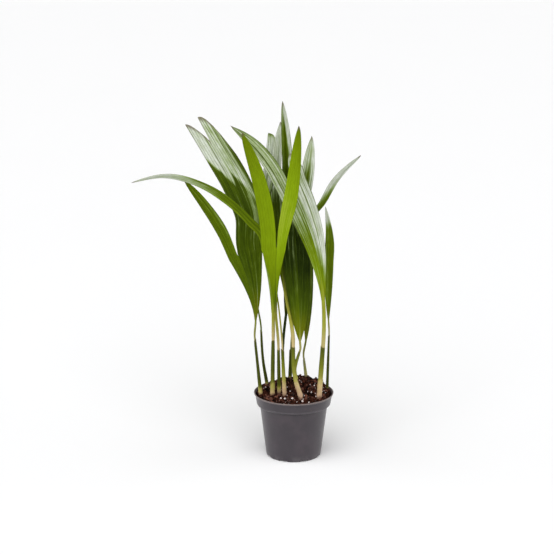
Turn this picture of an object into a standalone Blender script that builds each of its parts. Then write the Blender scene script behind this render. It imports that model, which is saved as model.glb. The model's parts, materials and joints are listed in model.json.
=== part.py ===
"""A clump of young areca palms in a small nursery pot.

Metres, +Z up. The origin is the centre of the pot's flat underside and the front of the plant faces -Y.
Every plant of the clump is a tapering leaf sheath (the stem) that stands on the soil, and one frond:
a slim stalk that widens into a pleated blade, which is slit along its rib into two lobes.
Places in the tables below are (x, y, z) in millimetres from the origin.
"""
import math
from typing import NamedTuple

import bmesh
import bpy
import numpy as np
from mathutils import Vector
from mathutils.bvhtree import BVHTree

MM = 0.001
GAP = 0.3                       # air between neighbouring pieces, mm
UP = np.array([0.0, 0.0, 1.0])

# Pot
POT_HEIGHT = 98.0
RIM_RADIUS = 60.0
LIP_HEIGHT = 2.0                # the thin bead round the mouth of the pot
LIP_DRAFT = 0.5                 # how much the bead narrows downwards
COLLAR_RADIUS = 58.0            # just under the bead
COLLAR_FOOT_RADIUS = 55.7
COLLAR_HEIGHT = 17.0            # from the top of the rim to the collar's lower edge
CHAMFER_HEIGHT = 2.4            # the sloping step between collar and body
STEP_LIFT = 1.0                 # the step lies this much higher inside, which keeps its wall thick
BODY_RADIUS = 51.0              # body just under the step
FOOT_RADIUS = 41.4
EDGE = 0.8                      # small slope at each outer edge
MOUTH_SLOPE = 1.2               # depth of the slope inside the bead
WALL = 1.6
FLOOR = 2.2
POT_SIDES = 48
SLOTS = 8                       # drainage notches round the foot
SLOT_SIZE = (9.0, 12.0, 5.0)    # along the radius, along the rim, up
COLLAR_BOTTOM = POT_HEIGHT - COLLAR_HEIGHT
BODY_TOP = COLLAR_BOTTOM - CHAMFER_HEIGHT
INNER_STEP = (BODY_TOP + STEP_LIFT, COLLAR_BOTTOM + STEP_LIFT)

# Soil
SOIL_FRONT = 94.0               # height of the soil against the front wall
SOIL_SLOPE = 0.055              # rise for each mm towards the back
SOIL_HEAP = 9.0                 # extra height of the heap at the back right
HEAP_PLACE = (18.0, 36.0)
HEAP_SPREAD = (38.0, 26.0)
ROLL_HEIGHT = 0.6               # the soil's surface rolls gently by this much
ROLL_WAVES = (0.31, 0.27)       # radians of roll for each mm along x and y
SOIL_BOTTOM = FLOOR + GAP
SOIL_STEP = (INNER_STEP[0] + GAP, INNER_STEP[1] + GAP)
SOIL_ROOM = 0.35                # keeps the soil's corners clear of the flat sides of the wall
SOIL_RINGS = 6
SOIL_SIDES = 32
FOOT_SPOTS = 12                 # places round a stem's foot where the soil under it is felt

# Stems
FOOT_STRAIGHT = 3.0             # the first stretch stands upright, so that the foot is cut level
SHEATH_POINTS = 7

# Fronds
STALK_HALF = 1.7                # half the width of a slim leaf stalk
STALK_STRAIGHT = 3.0            # the stalk's first stretch runs straight on from the sheath
SLIT = 1.1                      # how far each lobe draws back from the slit
TIP_HALF = 0.9                  # half the width of a lobe's blunt end
SWELL_SHARE = 0.35              # share of a lobe's length over which it reaches its full width
TIP_POWERS = (3.0, 0.6)         # how most lobes narrow: (1 - share ** first) ** second
NOTCH_SHARE = -0.1              # where the notch in a notched end lies across the lobe
NOTCH_COLUMNS = (-1.0, NOTCH_SHARE, 0.0, 0.6, 1.0)
NOTCH_POWER = 1.65              # how the point left of the notch rounds off towards it
SHOULDER_POWER = 2.5            # how the point right of the notch rounds off towards the right edge
ROLL_POWER = 1.5                # a lobe's roll grows with this power of the way along it
FOLD_ROWS = 3                   # rows over which a folded lobe folds up
LEAF_THICKNESS = 2.6            # the least thickness of a blade
THICKNESS_SHARE = 0.0105        # thickness of a long blade as a share of its length
PLEAT = 0.10                    # height of the pleats as a share of a lobe's half width
ROWS_STALK = 3
ROW_LENGTH = 24.0               # how far apart the rows of a blade lie, about
COLUMNS_LOBE = 4
EVEN_COLUMNS = np.linspace(-1.0, 1.0, COLUMNS_LOBE + 1)
LEAF_TONES = {"bright": (0.17, 0.28, 0.02), "green": (0.10, 0.19, 0.02), "dark": (0.045, 0.09, 0.01)}


class Stem(NamedTuple):
    """A leaf sheath: where it stands, the points up to its mouth, and its radius at foot and mouth."""
    foot: tuple
    path: list
    radii: tuple


class Lobe(NamedTuple):
    """Half of a blade beyond the fork: its width there and at its widest, and the points to its tip."""
    fork_width: float
    full_width: float
    path: list
    fold: float = 0.0           # how far its two halves fold up along its middle, degrees
    roll: float = 0.0           # how far it has turned about its own length at the tip, degrees
    taper: tuple = TIP_POWERS   # the two powers that shape how it narrows to its tip
    notch: float = 0.0          # depth of the notch in its end; without one it ends in a point
    shoulder: float = 0.0       # how far below a notched end its right edge starts to round off


class Frond(NamedTuple):
    """The sheath it rises from, and the points of its rib from where the blade starts to its fork."""
    stem: str
    rib: list
    turn: float                 # the way the blade faces, degrees about Z
    flare: tuple                # the two powers that shape how the blade widens
    tone: str
    lobes: list
    stalk: float = STALK_HALF   # half the width of its stalk


STEMS = {
    "stem_01": Stem((-50, -8), [(-58, -6, 181)], (2.8, 1.7)),
    "stem_02": Stem((-41, 31), [(-46, 27, 136), (-49, 20, 187)], (2.5, 1.6)),
    "stem_03": Stem((-32, -9), [(-31, -6, 179)], (3.7, 2.6)),
    "stem_04": Stem((-22, -3), [(-23, -8, 167)], (2.8, 2.2)),
    "stem_05": Stem((-14, -12), [(-17, -8, 166)], (3.0, 2.3)),
    "stem_06": Stem((-15, 38), [(-16, 38, 148)], (2.6, 1.8)),
    "stem_07": Stem((-5, 46), [(-4, 43, 149)], (2.9, 2.4)),
    "stem_08": Stem((10, -24), [(1, -20, 134), (8, -12, 163)], (3.8, 1.9)),
    "stem_09": Stem((19, 44), [(16, 46, 135)], (2.5, 1.6)),
    "stem_10": Stem((38, -21), [(43, -16, 173)], (4.2, 3.4)),
    "stem_11": Stem((51, 11), [(53, 16, 181)], (2.3, 1.5)),
}
PARTED_STEM = "stem_08"         # this thick sheath parts into two a little above the soil
SECOND_PATH = [(1, -20, 134), (-1, -12, 172)]
SECOND_RADII = (3.7, 2.8)
SECOND_MOUTH = "second mouth"

FRONDS = {
    "frond_01": Frond("stem_01", [(-57, -4, 211), (-82, 0, 308)], 5, (1.0, 1.2), "green", [
        Lobe(15, 18, [(-106, -2, 347), (-131, -4, 387), (-160, -6, 424)]),
        Lobe(38, 44, [(-67.5, 9, 370), (-85.5, 24, 412), (-109.5, 45, 450), (-144, 76, 502)], notch=43,
             shoulder=80),
    ]),
    "frond_02": Frond("stem_02", [(-55, 16, 231), (-66, 34, 309)], 15, (1.0, 1.0), "dark", [
        Lobe(16, 20, [(-81, 58, 376), (-99, 84, 419)]),
        Lobe(14, 15, [(-61, 58, 358), (-58, 72, 386)]),
    ]),
    "frond_03": Frond("stem_03", [(-31, -8, 224), (-45, -16, 338)], 0, (1.0, 2.2), "bright", [
        Lobe(12, 12.5, [(-65, -20, 365), (-91, -23, 391), (-127, -26, 416), (-182, -30, 433),
                      (-234, -34, 424)], roll=-40),
    ], stalk=2.7),
    "frond_04": Frond("stem_04", [(-27, -20, 228), (-26, -37, 326)], 0, (1.0, 1.9), "bright", [
        Lobe(22, 24, [(-47, -63, 420), (-73, -96, 506)]),
        Lobe(13, 22, [(-4.5, -61, 419), (5, -86, 514)]),
    ], stalk=2.1),
    "frond_05": Frond("stem_05", [(-24, 2, 240), (-33, 6, 300)], 60, (1.0, 1.0), "green", [
        Lobe(12, 14, [(-36, 7, 350), (-36, 8, 392)]),
    ]),
    "frond_06": Frond("stem_06", [(-11.5, 41, 208), (2, 62, 300)], 20, (1.6, 1.0), "dark", [
        Lobe(14, 18, [(-16, 84, 345), (-36, 110, 378)]),
        Lobe(18, 24, [(5, 88, 350), (8, 116, 384)]),
    ], stalk=2.3),
    "frond_07": Frond("stem_07", [(-1, 51, 190), (16, 90, 290)], -40, (2.0, 1.0), "dark", [
        Lobe(20, 26, [(10, 116, 328), (6, 142, 352)]),
        Lobe(20, 26, [(28, 116, 326), (35, 140, 348)]),
    ]),
    "frond_08": Frond(SECOND_MOUTH, [(-14, 12, 258), (-33, 48, 370)], 20, (1.0, 1.2), "green", [
        Lobe(15, 20, [(-35, 60, 437), (-33, 80, 472), (-36, 108, 474)]),
        Lobe(15, 19, [(-26, 64, 444), (-20, 80, 496)]),
    ], stalk=2.9),
    "frond_09": Frond("stem_08", [(9, -8, 180), (1, 27, 370)], 20, (3.5, 1.0), "dark", [
        Lobe(23, 24, [(-12, 40, 453), (-17, 54, 530)], fold=55),
        Lobe(21, 26, [(19, 38, 431), (26, 50, 479)], fold=20, taper=(3.0, 0.75)),
    ]),
    "frond_10": Frond("stem_09", [(19, 46, 165), (17, 52, 344)], 25, (2.5, 1.0), "green", [
        Lobe(16, 19, [(7, 66, 395), (4, 80, 430)]),
        Lobe(10, 14, [(42, 50, 378), (61, 49, 412), (99, 40, 452)]),
    ]),
    "frond_11": Frond("stem_10", [(43, -13, 245), (31, -3, 320), (-4, 8, 409)], 15, (1.8, 1.4), "bright", [
        Lobe(22, 24, [(-34, 13, 442), (-57, 22, 469), (-93, 30, 497)], taper=(3.0, 0.8)),
        Lobe(26, 24, [(2, 12, 435), (-6, 18, 458)]),
    ], stalk=3.0),
    "frond_12": Frond("stem_11", [(52, 14, 208), (52, 12, 290)], -35, (2.0, 1.0), "green", [
        Lobe(15, 17, [(52, 12, 340), (46, 13, 380)], taper=(2.0, 0.8)),
    ]),
}


def clear_scene():
    for old in list(bpy.data.objects):
        bpy.data.objects.remove(old)


def new_collection(name):
    collection = bpy.data.collections.new(name)
    bpy.context.scene.collection.children.link(collection)
    return collection


def material(name, color, roughness, metallic=0.0):
    made = bpy.data.materials.new(name)
    made.use_nodes = True
    shader = made.node_tree.nodes["Principled BSDF"]
    shader.inputs["Base Color"].default_value = (*color, 1.0)
    shader.inputs["Roughness"].default_value = roughness
    shader.inputs["Metallic"].default_value = metallic
    return made


def add_object(name, data, collection, finish):
    thing = bpy.data.objects.new(name, data)
    data.materials.append(finish)
    collection.objects.link(thing)
    return thing


def hide_helper(helper):
    helper.hide_render = True
    helper.display_type = "WIRE"


def add_boolean(thing, operation, other):
    change = thing.modifiers.new(other.name, "BOOLEAN")
    change.operation = operation
    change.solver = "EXACT"
    change.object = other


def shade_round(mesh, degrees=35.0):
    mesh.shade_smooth()
    mesh.set_sharp_from_angle(angle=math.radians(degrees))


def unit(vectors):
    return vectors / np.linalg.norm(vectors, axis=-1, keepdims=True)


# Pot and soil

def pot_profile():
    """The pot's section from the middle of the floor's upper side, over the rim, to the underside."""
    inner = [
        (0.0, FLOOR), (FOOT_RADIUS - WALL, FLOOR), (BODY_RADIUS - WALL, INNER_STEP[0]),
        (COLLAR_FOOT_RADIUS - WALL, INNER_STEP[1]), (COLLAR_RADIUS - WALL, POT_HEIGHT - MOUTH_SLOPE),
        (RIM_RADIUS - WALL, POT_HEIGHT),
    ]
    outer = [
        (RIM_RADIUS, POT_HEIGHT), (RIM_RADIUS - LIP_DRAFT, POT_HEIGHT - LIP_HEIGHT),
        (COLLAR_RADIUS, POT_HEIGHT - LIP_HEIGHT - EDGE), (COLLAR_FOOT_RADIUS, COLLAR_BOTTOM),
        (COLLAR_FOOT_RADIUS - EDGE, COLLAR_BOTTOM - EDGE), (BODY_RADIUS, BODY_TOP),
        (FOOT_RADIUS, EDGE), (FOOT_RADIUS - EDGE, 0.0), (0.0, 0.0),
    ]
    return inner + outer


def build_pot(collection, cutters):
    """The pot's profile turned about Z by a Screw modifier, then cut by the drainage notches."""
    plastic = material("pot_plastic", (0.105, 0.098, 0.107), 0.55)
    points = [(radius * MM, 0.0, height * MM) for radius, height in pot_profile()]
    mesh = bpy.data.meshes.new("pot")
    mesh.from_pydata(points, [(i, i + 1) for i in range(len(points) - 1)], [])
    pot = add_object("pot", mesh, collection, plastic)
    screw = pot.modifiers.new("turn", "SCREW")
    screw.steps = POT_SIDES
    screw.render_steps = POT_SIDES
    screw.use_merge_vertices = True
    screw.merge_threshold = 0.0001
    for index in range(SLOTS):
        angle = 2 * math.pi * (index + 0.5) / SLOTS
        add_boolean(pot, "DIFFERENCE", slot_cutter(f"slot_{index + 1}", angle, cutters))


def slot_cutter(name, angle, cutters):
    """One drainage notch: a box across the corner between the wall and the floor."""
    radial, along, up = SLOT_SIZE
    bpy.ops.mesh.primitive_cube_add(size=1.0)
    slot = bpy.context.object
    slot.name = name
    slot.scale = (radial * MM, along * MM, up * MM)
    bpy.ops.object.transform_apply(location=False, rotation=False, scale=True)
    slot.location = (FOOT_RADIUS * MM * math.cos(angle), FOOT_RADIUS * MM * math.sin(angle), 0.0)
    slot.rotation_euler = (0.0, 0.0, angle)
    for home in list(slot.users_collection):
        home.objects.unlink(slot)
    cutters.objects.link(slot)
    hide_helper(slot)
    return slot


def soil_height(x, y):
    """Height of the soil in mm: it rises to the back, has a heap at the back right and rolls a little."""
    across = (x - HEAP_PLACE[0]) / HEAP_SPREAD[0]
    back = (y - HEAP_PLACE[1]) / HEAP_SPREAD[1]
    heap = SOIL_HEAP * math.exp(-across**2 - back**2)
    rolls = ROLL_HEIGHT * math.sin(ROLL_WAVES[0] * x) * math.cos(ROLL_WAVES[1] * y)
    return SOIL_FRONT + SOIL_SLOPE * (y + BODY_RADIUS) + heap + rolls


def soil_radius(height):
    """Radius of the soil at a height: that of the pot's inner wall, less the gap."""
    heights = [FLOOR, *SOIL_STEP, POT_HEIGHT - MOUTH_SLOPE]
    radii = [FOOT_RADIUS, BODY_RADIUS, COLLAR_FOOT_RADIUS, COLLAR_RADIUS]
    return float(np.interp(height, heights, radii)) - WALL - GAP - SOIL_ROOM


def soil_ring(bm, radius, height=None):
    """A ring of points at a height, or on top of the soil where none is given."""
    ring = []
    for angle in 2 * math.pi * np.arange(SOIL_SIDES) / SOIL_SIDES:
        x = radius * math.cos(angle)
        y = radius * math.sin(angle)
        z = soil_height(x, y) if height is None else height
        ring.append(bm.verts.new((x * MM, y * MM, z * MM)))
    return ring


def build_soil(collection):
    """The potting mix as one solid that fills the pot: rings up the wall, then rings to the middle."""
    bm = bmesh.new()
    levels = (SOIL_BOTTOM, *SOIL_STEP)
    rings = [soil_ring(bm, soil_radius(height), height) for height in levels]
    edge = soil_radius(SOIL_FRONT)
    rings += [soil_ring(bm, edge * (1.0 - step / SOIL_RINGS)) for step in range(SOIL_RINGS)]
    for lower, upper in zip(rings, rings[1:]):
        for i in range(SOIL_SIDES):
            bm.faces.new((lower[i], lower[i - 1], upper[i - 1], upper[i]))
    middle = bm.verts.new((0.0, 0.0, soil_height(0.0, 0.0) * MM))
    for i in range(SOIL_SIDES):
        bm.faces.new((rings[-1][i], rings[-1][i - 1], middle))
    bm.faces.new(rings[0])
    bmesh.ops.recalc_face_normals(bm, faces=bm.faces)
    mesh = bpy.data.meshes.new("soil")
    bm.to_mesh(mesh)
    ground = BVHTree.FromBMesh(bm)
    bm.free()
    add_object("soil", mesh, collection, material("soil", (0.045, 0.022, 0.016), 0.95))
    return ground


def ground_under(ground, stem):
    """Height in mm of the highest soil under a stem's round foot."""
    radius = stem.radii[0]
    spots = [stem.foot]
    for angle in 2 * math.pi * np.arange(FOOT_SPOTS) / FOOT_SPOTS:
        spots.append((stem.foot[0] + radius * math.cos(angle), stem.foot[1] + radius * math.sin(angle)))
    above = 2 * POT_HEIGHT * MM
    down = Vector((0.0, 0.0, -1.0))
    hits = [ground.ray_cast(Vector((x * MM, y * MM, above)), down)[0] for x, y in spots]
    return max(hit.z for hit in hits) / MM


# Stems

def spline(knots, values, start):
    """Points and unit directions of a smooth curve through the knots, for values from 0 to 1 along it.

    Between two knots it is a cubic. Its slope at an inner knot is the mean of the two chords there, each
    weighted by the length of the other. It sets out in the start direction, and its last slope is the one
    that leaves the last stretch without bend at its end.
    """
    knots = np.asarray(knots, float)
    chords = np.linalg.norm(np.diff(knots, axis=0), axis=1)
    share = chords / chords.sum()
    marks = np.concatenate([[0.0], np.cumsum(share)])
    steps = np.diff(knots, axis=0) / share[:, None]
    before, after = share[:-1, None], share[1:, None]
    slopes = np.zeros_like(knots)
    slopes[0] = np.linalg.norm(steps[0]) * start
    slopes[1:-1] = (steps[:-1] * after + steps[1:] * before) / (before + after)
    slopes[-1] = 1.5 * steps[-1] - 0.5 * slopes[-2]
    which = np.clip(np.searchsorted(marks, values, side="right") - 1, 0, len(share) - 1)
    t = ((values - marks[which]) / share[which])[:, None]
    a, b = knots[which], knots[which + 1]
    m, n = slopes[which] * share[which, None], slopes[which + 1] * share[which, None]
    points = a + (3 * t**2 - 2 * t**3) * (b - a) + (t**3 - 2 * t**2 + t) * m + (t**3 - t**2) * n
    ways = (6 * t - 6 * t**2) * (b - a) + (3 * t**2 - 4 * t + 1) * m + (3 * t**2 - 2 * t) * n
    return points, unit(ways)


def stem_path(stem, height):
    """Points up the middle of a sheath that stands on soil of this height: its foot, then its lean."""
    foot = np.array([*stem.foot, height + GAP])
    first = foot + FOOT_STRAIGHT * UP
    lean = unit(np.array(stem.path[0]) - first)
    points, _ = spline([first, *stem.path], np.linspace(0.0, 1.0, SHEATH_POINTS), start=lean)
    return np.vstack([foot, points])


def sheath_mesh(name, points, radii):
    """A tapering tube along the points, closed by its caps."""
    curve = bpy.data.curves.new(name, "CURVE")
    curve.dimensions = "3D"
    curve.bevel_depth = MM
    curve.bevel_resolution = 2
    curve.use_fill_caps = True
    line = curve.splines.new("POLY")
    line.points.add(len(points) - 1)
    for knot, point, radius in zip(line.points, points, np.linspace(*radii, len(points))):
        knot.co = (*(point * MM), 1.0)
        knot.radius = radius
    tube = bpy.data.objects.new(name, curve)
    bpy.context.scene.collection.objects.link(tube)
    solid = bpy.data.meshes.new_from_object(tube.evaluated_get(bpy.context.evaluated_depsgraph_get()))
    bpy.data.objects.remove(tube)
    bm = bmesh.new()
    bm.from_mesh(solid)
    bmesh.ops.remove_doubles(bm, verts=bm.verts, dist=0.00001)
    bm.to_mesh(solid)
    bm.free()
    shade_round(solid)
    return solid


def build_stem(name, key, stem, height, collection, finish, mouths):
    """One sheath as an object; notes where its mouth is and the way it points."""
    points = stem_path(stem, height)
    mouths[key] = (points[-1], unit(points[-1] - points[-2]))
    return add_object(name, sheath_mesh(name, points, stem.radii), collection, finish)


def build_stems(collection, cutters, ground):
    """Every sheath on the soil; returns the place and direction of each mouth."""
    green = material("sheath_green", (0.10, 0.16, 0.03), 0.5)
    mouths = {}
    for name, stem in STEMS.items():
        height = ground_under(ground, stem)
        sheath = build_stem(name, name, stem, height, collection, green, mouths)
        if name == PARTED_STEM:
            other = stem._replace(path=SECOND_PATH, radii=SECOND_RADII)
            arm = build_stem("second_sheath", SECOND_MOUTH, other, height, cutters, green, mouths)
            hide_helper(arm)
            add_boolean(sheath, "UNION", arm)
    return mouths


# Fronds

def level_across(ways, turn):
    """Unit vectors at right angles to the path, as near as can be to the way the blade faces."""
    level = np.array([math.cos(math.radians(turn)), math.sin(math.radians(turn)), 0.0])
    return unit(level - (ways @ level)[:, None] * ways)


def carried_across(ways, first):
    """Carries the across vector along the path without twist: each step drops the part along the path."""
    rows = [first]
    for way in ways[1:]:
        rows.append(unit(rows[-1] - (rows[-1] @ way) * way))
    return np.array(rows)


def rolled(across, ways, degrees):
    """Turns the across vectors about the path, little at the fork and by the full angle at the tip."""
    angle = np.radians(degrees) * np.linspace(0.0, 1.0, len(ways))[:, None] ** ROLL_POWER
    return np.cos(angle) * across + np.sin(angle) * np.cross(ways, across)


def path_length(points):
    return np.linalg.norm(np.diff(np.array(points, float), axis=0), axis=1).sum()


def rows_along(points):
    """How many rows a stretch of blade through these points gets."""
    return math.ceil(path_length(points) / ROW_LENGTH)


def blade_rows(frond):
    """Rows from where the blade starts to widen to the fork, and from the fork to the tips."""
    beyond = max(rows_along([frond.rib[-1], *lobe.path]) for lobe in frond.lobes)
    return rows_along(frond.rib), beyond


def widening(flare, rows):
    """How far the blade has widened at each row, from 0 on the stalk to 1 at the fork."""
    power, curve = flare
    share = np.clip(np.arange(ROWS_STALK + rows + 1) - ROWS_STALK, 0, None) / rows
    return (1.0 - (1.0 - share) ** power) ** curve


def stalk_line(frond, mouth, way, rows):
    """Points and directions of the rib, one for each row from the mouth of the sheath to the fork."""
    start = mouth + GAP * way
    knots = np.array([start + STALK_STRAIGHT * way, *frond.rib])
    chords = np.linalg.norm(np.diff(knots, axis=0), axis=1)
    base = chords[0] / chords.sum()
    values = np.concatenate([np.linspace(0.0, base, ROWS_STALK), np.linspace(base, 1.0, rows + 1)[1:]])
    points, ways = spline(knots, values, start=way)
    return np.vstack([start, points]), np.vstack([way, ways])


def ribbon(centres, ways, across, half, share, fold=0.0, drawn=0.0):
    """Places across each row of a strip, which is pleated and whose two halves fold up by an angle.

    A column's share is between -1 and 1. It lies share times the half width out from the centre, and
    its height is a zigzag of pleats plus the rise of the fold.
    """
    pleats = PLEAT * (np.arange(COLUMNS_LOBE + 1) % 2)
    half = half[:, None]
    spread = half * share * np.cos(fold) + drawn
    rise = half * (pleats + np.abs(share) * np.sin(fold))
    upward = np.cross(across, ways)
    return centres[:, None] + across[:, None] * spread[..., None] + upward[:, None] * rise[..., None]


def end_cuts(lobe, share):
    """How far each column of a notched lobe ends before its end, in mm.

    Up to the notch it is notch * ((share + 1) / (NOTCH_SHARE + 1)) ** NOTCH_POWER, which leaves a point
    at the left edge. Beyond, it is shoulder * share ** SHOULDER_POWER, with a point at the middle.
    """
    left = lobe.notch * ((share + 1.0) / (NOTCH_SHARE + 1.0)) ** NOTCH_POWER
    right = lobe.shoulder * np.clip(share, 0.0, 1.0) ** SHOULDER_POWER
    return np.where(share <= NOTCH_SHARE, left, right)


def cut_end(surface, cuts):
    """Draws each column of points back by its own share of the lobe's length."""
    values = np.linspace(0.0, 1.0, len(surface))
    cut = np.empty_like(surface)
    for column, length in enumerate(1.0 - cuts):
        for axis in range(3):
            cut[:, column, axis] = np.interp(values * length, values, surface[:, column, axis])
    return cut


def lobe_surface(lobe, side, fork, way, across, rows):
    """Places of a lobe's points from the fork to the tip; the edge at the slit draws back from it."""
    values = np.linspace(0.0, 1.0, rows + 1)
    start = fork + side * across * lobe.fork_width / 2
    points, ways = spline([start, *lobe.path], values, start=way)
    sideways = rolled(carried_across(ways, across), ways, lobe.roll)
    half = np.interp(values, [0.0, SWELL_SHARE], [lobe.fork_width, lobe.full_width]) / 2
    if lobe.notch:
        share = np.array(NOTCH_COLUMNS)
    else:
        share = EVEN_COLUMNS
        half = np.maximum(half * (1.0 - values ** lobe.taper[0]) ** lobe.taper[1], TIP_HALF)
    inner = (1.0 - side * share) / 2
    drawn = side * SLIT * inner * (half > 2 * SLIT)[:, None]
    fold = np.radians(lobe.fold) * np.clip(np.arange(rows + 1) / FOLD_ROWS, 0.0, 1.0)
    surface = ribbon(points, ways, sideways, half, share, fold[:, None], drawn)
    return cut_end(surface, end_cuts(lobe, share) / path_length(points)) if lobe.notch else surface


def half_surface(frond, which, mouth, way):
    """Places of one lobe and of its half of the blade below the fork, as rows by columns, in mm."""
    lobe = frond.lobes[which]
    single = len(frond.lobes) == 1
    side = 0 if single else 2 * which - 1
    below, beyond = blade_rows(frond)
    points, ways = stalk_line(frond, mouth, way, below)
    across = level_across(ways, frond.turn)
    stalk = frond.stalk if single else frond.stalk / 2
    half = stalk + (lobe.fork_width / 2 - stalk) * widening(frond.flare, below)
    lower = ribbon(points + side * across * half[:, None], ways, across, half, EVEN_COLUMNS)
    upper = lobe_surface(lobe, side, points[-1], ways[-1], across[-1], beyond)
    return np.concatenate([lower, upper[1:]])


def frond_grid(frond):
    """A flat grid, one unit a square; that of two lobes is slit along its middle beyond the fork."""
    columns = COLUMNS_LOBE * len(frond.lobes)
    below, beyond = blade_rows(frond)
    fork = ROWS_STALK + below
    rows = fork + beyond
    bm = bmesh.new()
    bmesh.ops.create_grid(bm, x_segments=columns, y_segments=rows, size=1.0)
    for vert in bm.verts:
        vert.co = (round((vert.co.x + 1.0) / 2.0 * columns), round((vert.co.y + 1.0) / 2.0 * rows), 0.0)
    if len(frond.lobes) == 2:
        slit = [e for e in bm.edges if all(v.co.x == COLUMNS_LOBE and v.co.y >= fork for v in e.verts)]
        bmesh.ops.split_edges(bm, edges=slit)
    return bm


def grid_place(vert):
    """Which half a grid point belongs to, its row and its column there; its faces tell its side."""
    middle = sum(face.calc_center_median().x for face in vert.link_faces) / len(vert.link_faces)
    which = 0 if middle < COLUMNS_LOBE else 1
    return which, round(vert.co.y), round(vert.co.x) - which * COLUMNS_LOBE


def blade_thickness(frond):
    """Thickness in mm: a little over a hundredth of the length of the blade's longer half."""
    length = max(path_length([*frond.rib, *lobe.path]) for lobe in frond.lobes)
    return max(LEAF_THICKNESS, THICKNESS_SHARE * length)


def build_frond(name, frond, mouth, way, collection, finish):
    surfaces = [half_surface(frond, which, mouth, way) for which in range(len(frond.lobes))]
    bm = frond_grid(frond)
    places = [(vert, grid_place(vert)) for vert in bm.verts]
    for vert, (which, row, column) in places:
        vert.co = Vector(surfaces[which][row, column] * MM)
    bmesh.ops.recalc_face_normals(bm, faces=bm.faces)
    mesh = bpy.data.meshes.new(name)
    bm.to_mesh(mesh)
    bm.free()
    shade_round(mesh)
    blade = add_object(name, mesh, collection, finish)
    thick = blade.modifiers.new("thickness", "SOLIDIFY")
    thick.thickness = blade_thickness(frond) * MM
    thick.offset = 0.0


def build_fronds(collection, mouths):
    leaf = {tone: material(f"leaf_{tone}", color, 0.42) for tone, color in LEAF_TONES.items()}
    for name, frond in FRONDS.items():
        build_frond(name, frond, *mouths[frond.stem], collection, leaf[frond.tone])


def build():
    clear_scene()
    palm = new_collection("potted_areca_palm")
    cutters = new_collection("cutters")
    build_pot(palm, cutters)
    ground = build_soil(palm)
    mouths = build_stems(palm, cutters, ground)
    build_fronds(palm, mouths)


build()
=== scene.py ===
# %% [markdown]
# # A clump of young areca palms in a nursery pot
#
# Areca palms are sold young, a dozen seedlings to a pot. At this age a leaf is not yet a feather: it is
# one pleated blade, slit along its rib into two pointed lobes. This script dresses the construction
# model with fine surfaces. The model gives the frame: every piece below repeats the rule of the node
# that it stands for, at a finer step, so nothing has to be fitted afterwards.

# %% Load the frame
import json
import math
from typing import NamedTuple

import bpy
import numpy as np
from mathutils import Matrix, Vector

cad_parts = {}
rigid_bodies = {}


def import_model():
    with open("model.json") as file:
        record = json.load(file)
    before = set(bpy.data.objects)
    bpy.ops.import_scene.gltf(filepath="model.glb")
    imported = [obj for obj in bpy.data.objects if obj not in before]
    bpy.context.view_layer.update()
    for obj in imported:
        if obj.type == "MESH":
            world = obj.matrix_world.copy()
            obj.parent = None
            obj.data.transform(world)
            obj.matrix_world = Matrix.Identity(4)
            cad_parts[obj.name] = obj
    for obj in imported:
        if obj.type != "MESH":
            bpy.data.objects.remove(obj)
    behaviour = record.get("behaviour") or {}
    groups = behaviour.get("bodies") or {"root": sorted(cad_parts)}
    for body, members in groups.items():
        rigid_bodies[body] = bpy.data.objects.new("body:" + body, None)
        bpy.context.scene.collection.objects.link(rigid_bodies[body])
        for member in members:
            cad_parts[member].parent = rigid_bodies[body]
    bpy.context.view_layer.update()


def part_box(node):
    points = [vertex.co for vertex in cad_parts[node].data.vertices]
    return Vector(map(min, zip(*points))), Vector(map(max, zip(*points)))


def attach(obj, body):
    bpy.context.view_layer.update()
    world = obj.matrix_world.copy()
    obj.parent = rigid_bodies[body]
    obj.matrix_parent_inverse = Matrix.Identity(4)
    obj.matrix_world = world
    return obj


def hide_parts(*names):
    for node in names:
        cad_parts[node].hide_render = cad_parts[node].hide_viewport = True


for old in list(bpy.data.objects):
    bpy.data.objects.remove(old)
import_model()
MM = 0.001
UP = np.array([0.0, 0.0, 1.0])

# %% [markdown]
# ## The camera
#
# The plant stands in the middle of a square picture, seen from a little above through a long lens. The
# rim and the foot of the pot are two circles at a known height, so their ellipses tell how far down the
# camera looks and from how far. It could be placed by eye, but this camera is worked out from the pot.

# %% Camera
LENS = 95.0
SENSOR = 36.0
CAMERA_DOWN = math.radians(14.2)
CAMERA_TARGET = np.array([-25.2, 0.0, 276.4])       # mm; the middle of the picture
CAMERA_DISTANCE = 2162.7

lens = bpy.data.cameras.new("camera")
lens.lens = LENS
lens.sensor_width = SENSOR
lens.clip_end = 200.0
camera = bpy.data.objects.new("camera", lens)
looks_along = np.array([0.0, math.cos(CAMERA_DOWN), -math.sin(CAMERA_DOWN)])
camera.location = (CAMERA_TARGET - CAMERA_DISTANCE * looks_along) * MM
camera.rotation_euler = (math.pi / 2 - CAMERA_DOWN, 0.0, 0.0)
bpy.context.scene.collection.objects.link(camera)
bpy.context.scene.camera = camera
print("camera at", [round(v, 3) for v in camera.location])

# %% [markdown]
# ## Surfaces from arrays
#
# Everything on this plant is either a tube (a stalk, a sheath, the pot) or a sheet (a blade). Both could
# be modelled by hand, but here they are grids: rows along the piece, columns round or across it. One
# function puts the arrays into a mesh, with the named numbers that the materials read at each point.

# %% Mesh helpers
def unit(vectors):
    """Each vector divided by its length."""
    return vectors / np.linalg.norm(vectors, axis=-1, keepdims=True)


def smooth_step(values, low, high):
    """0 below low, 1 above high, and 3t^2 - 2t^3 between them."""
    t = np.clip((np.asarray(values, float) - low) / (high - low), 0.0, 1.0)
    return t * t * (3.0 - 2.0 * t)


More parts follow.
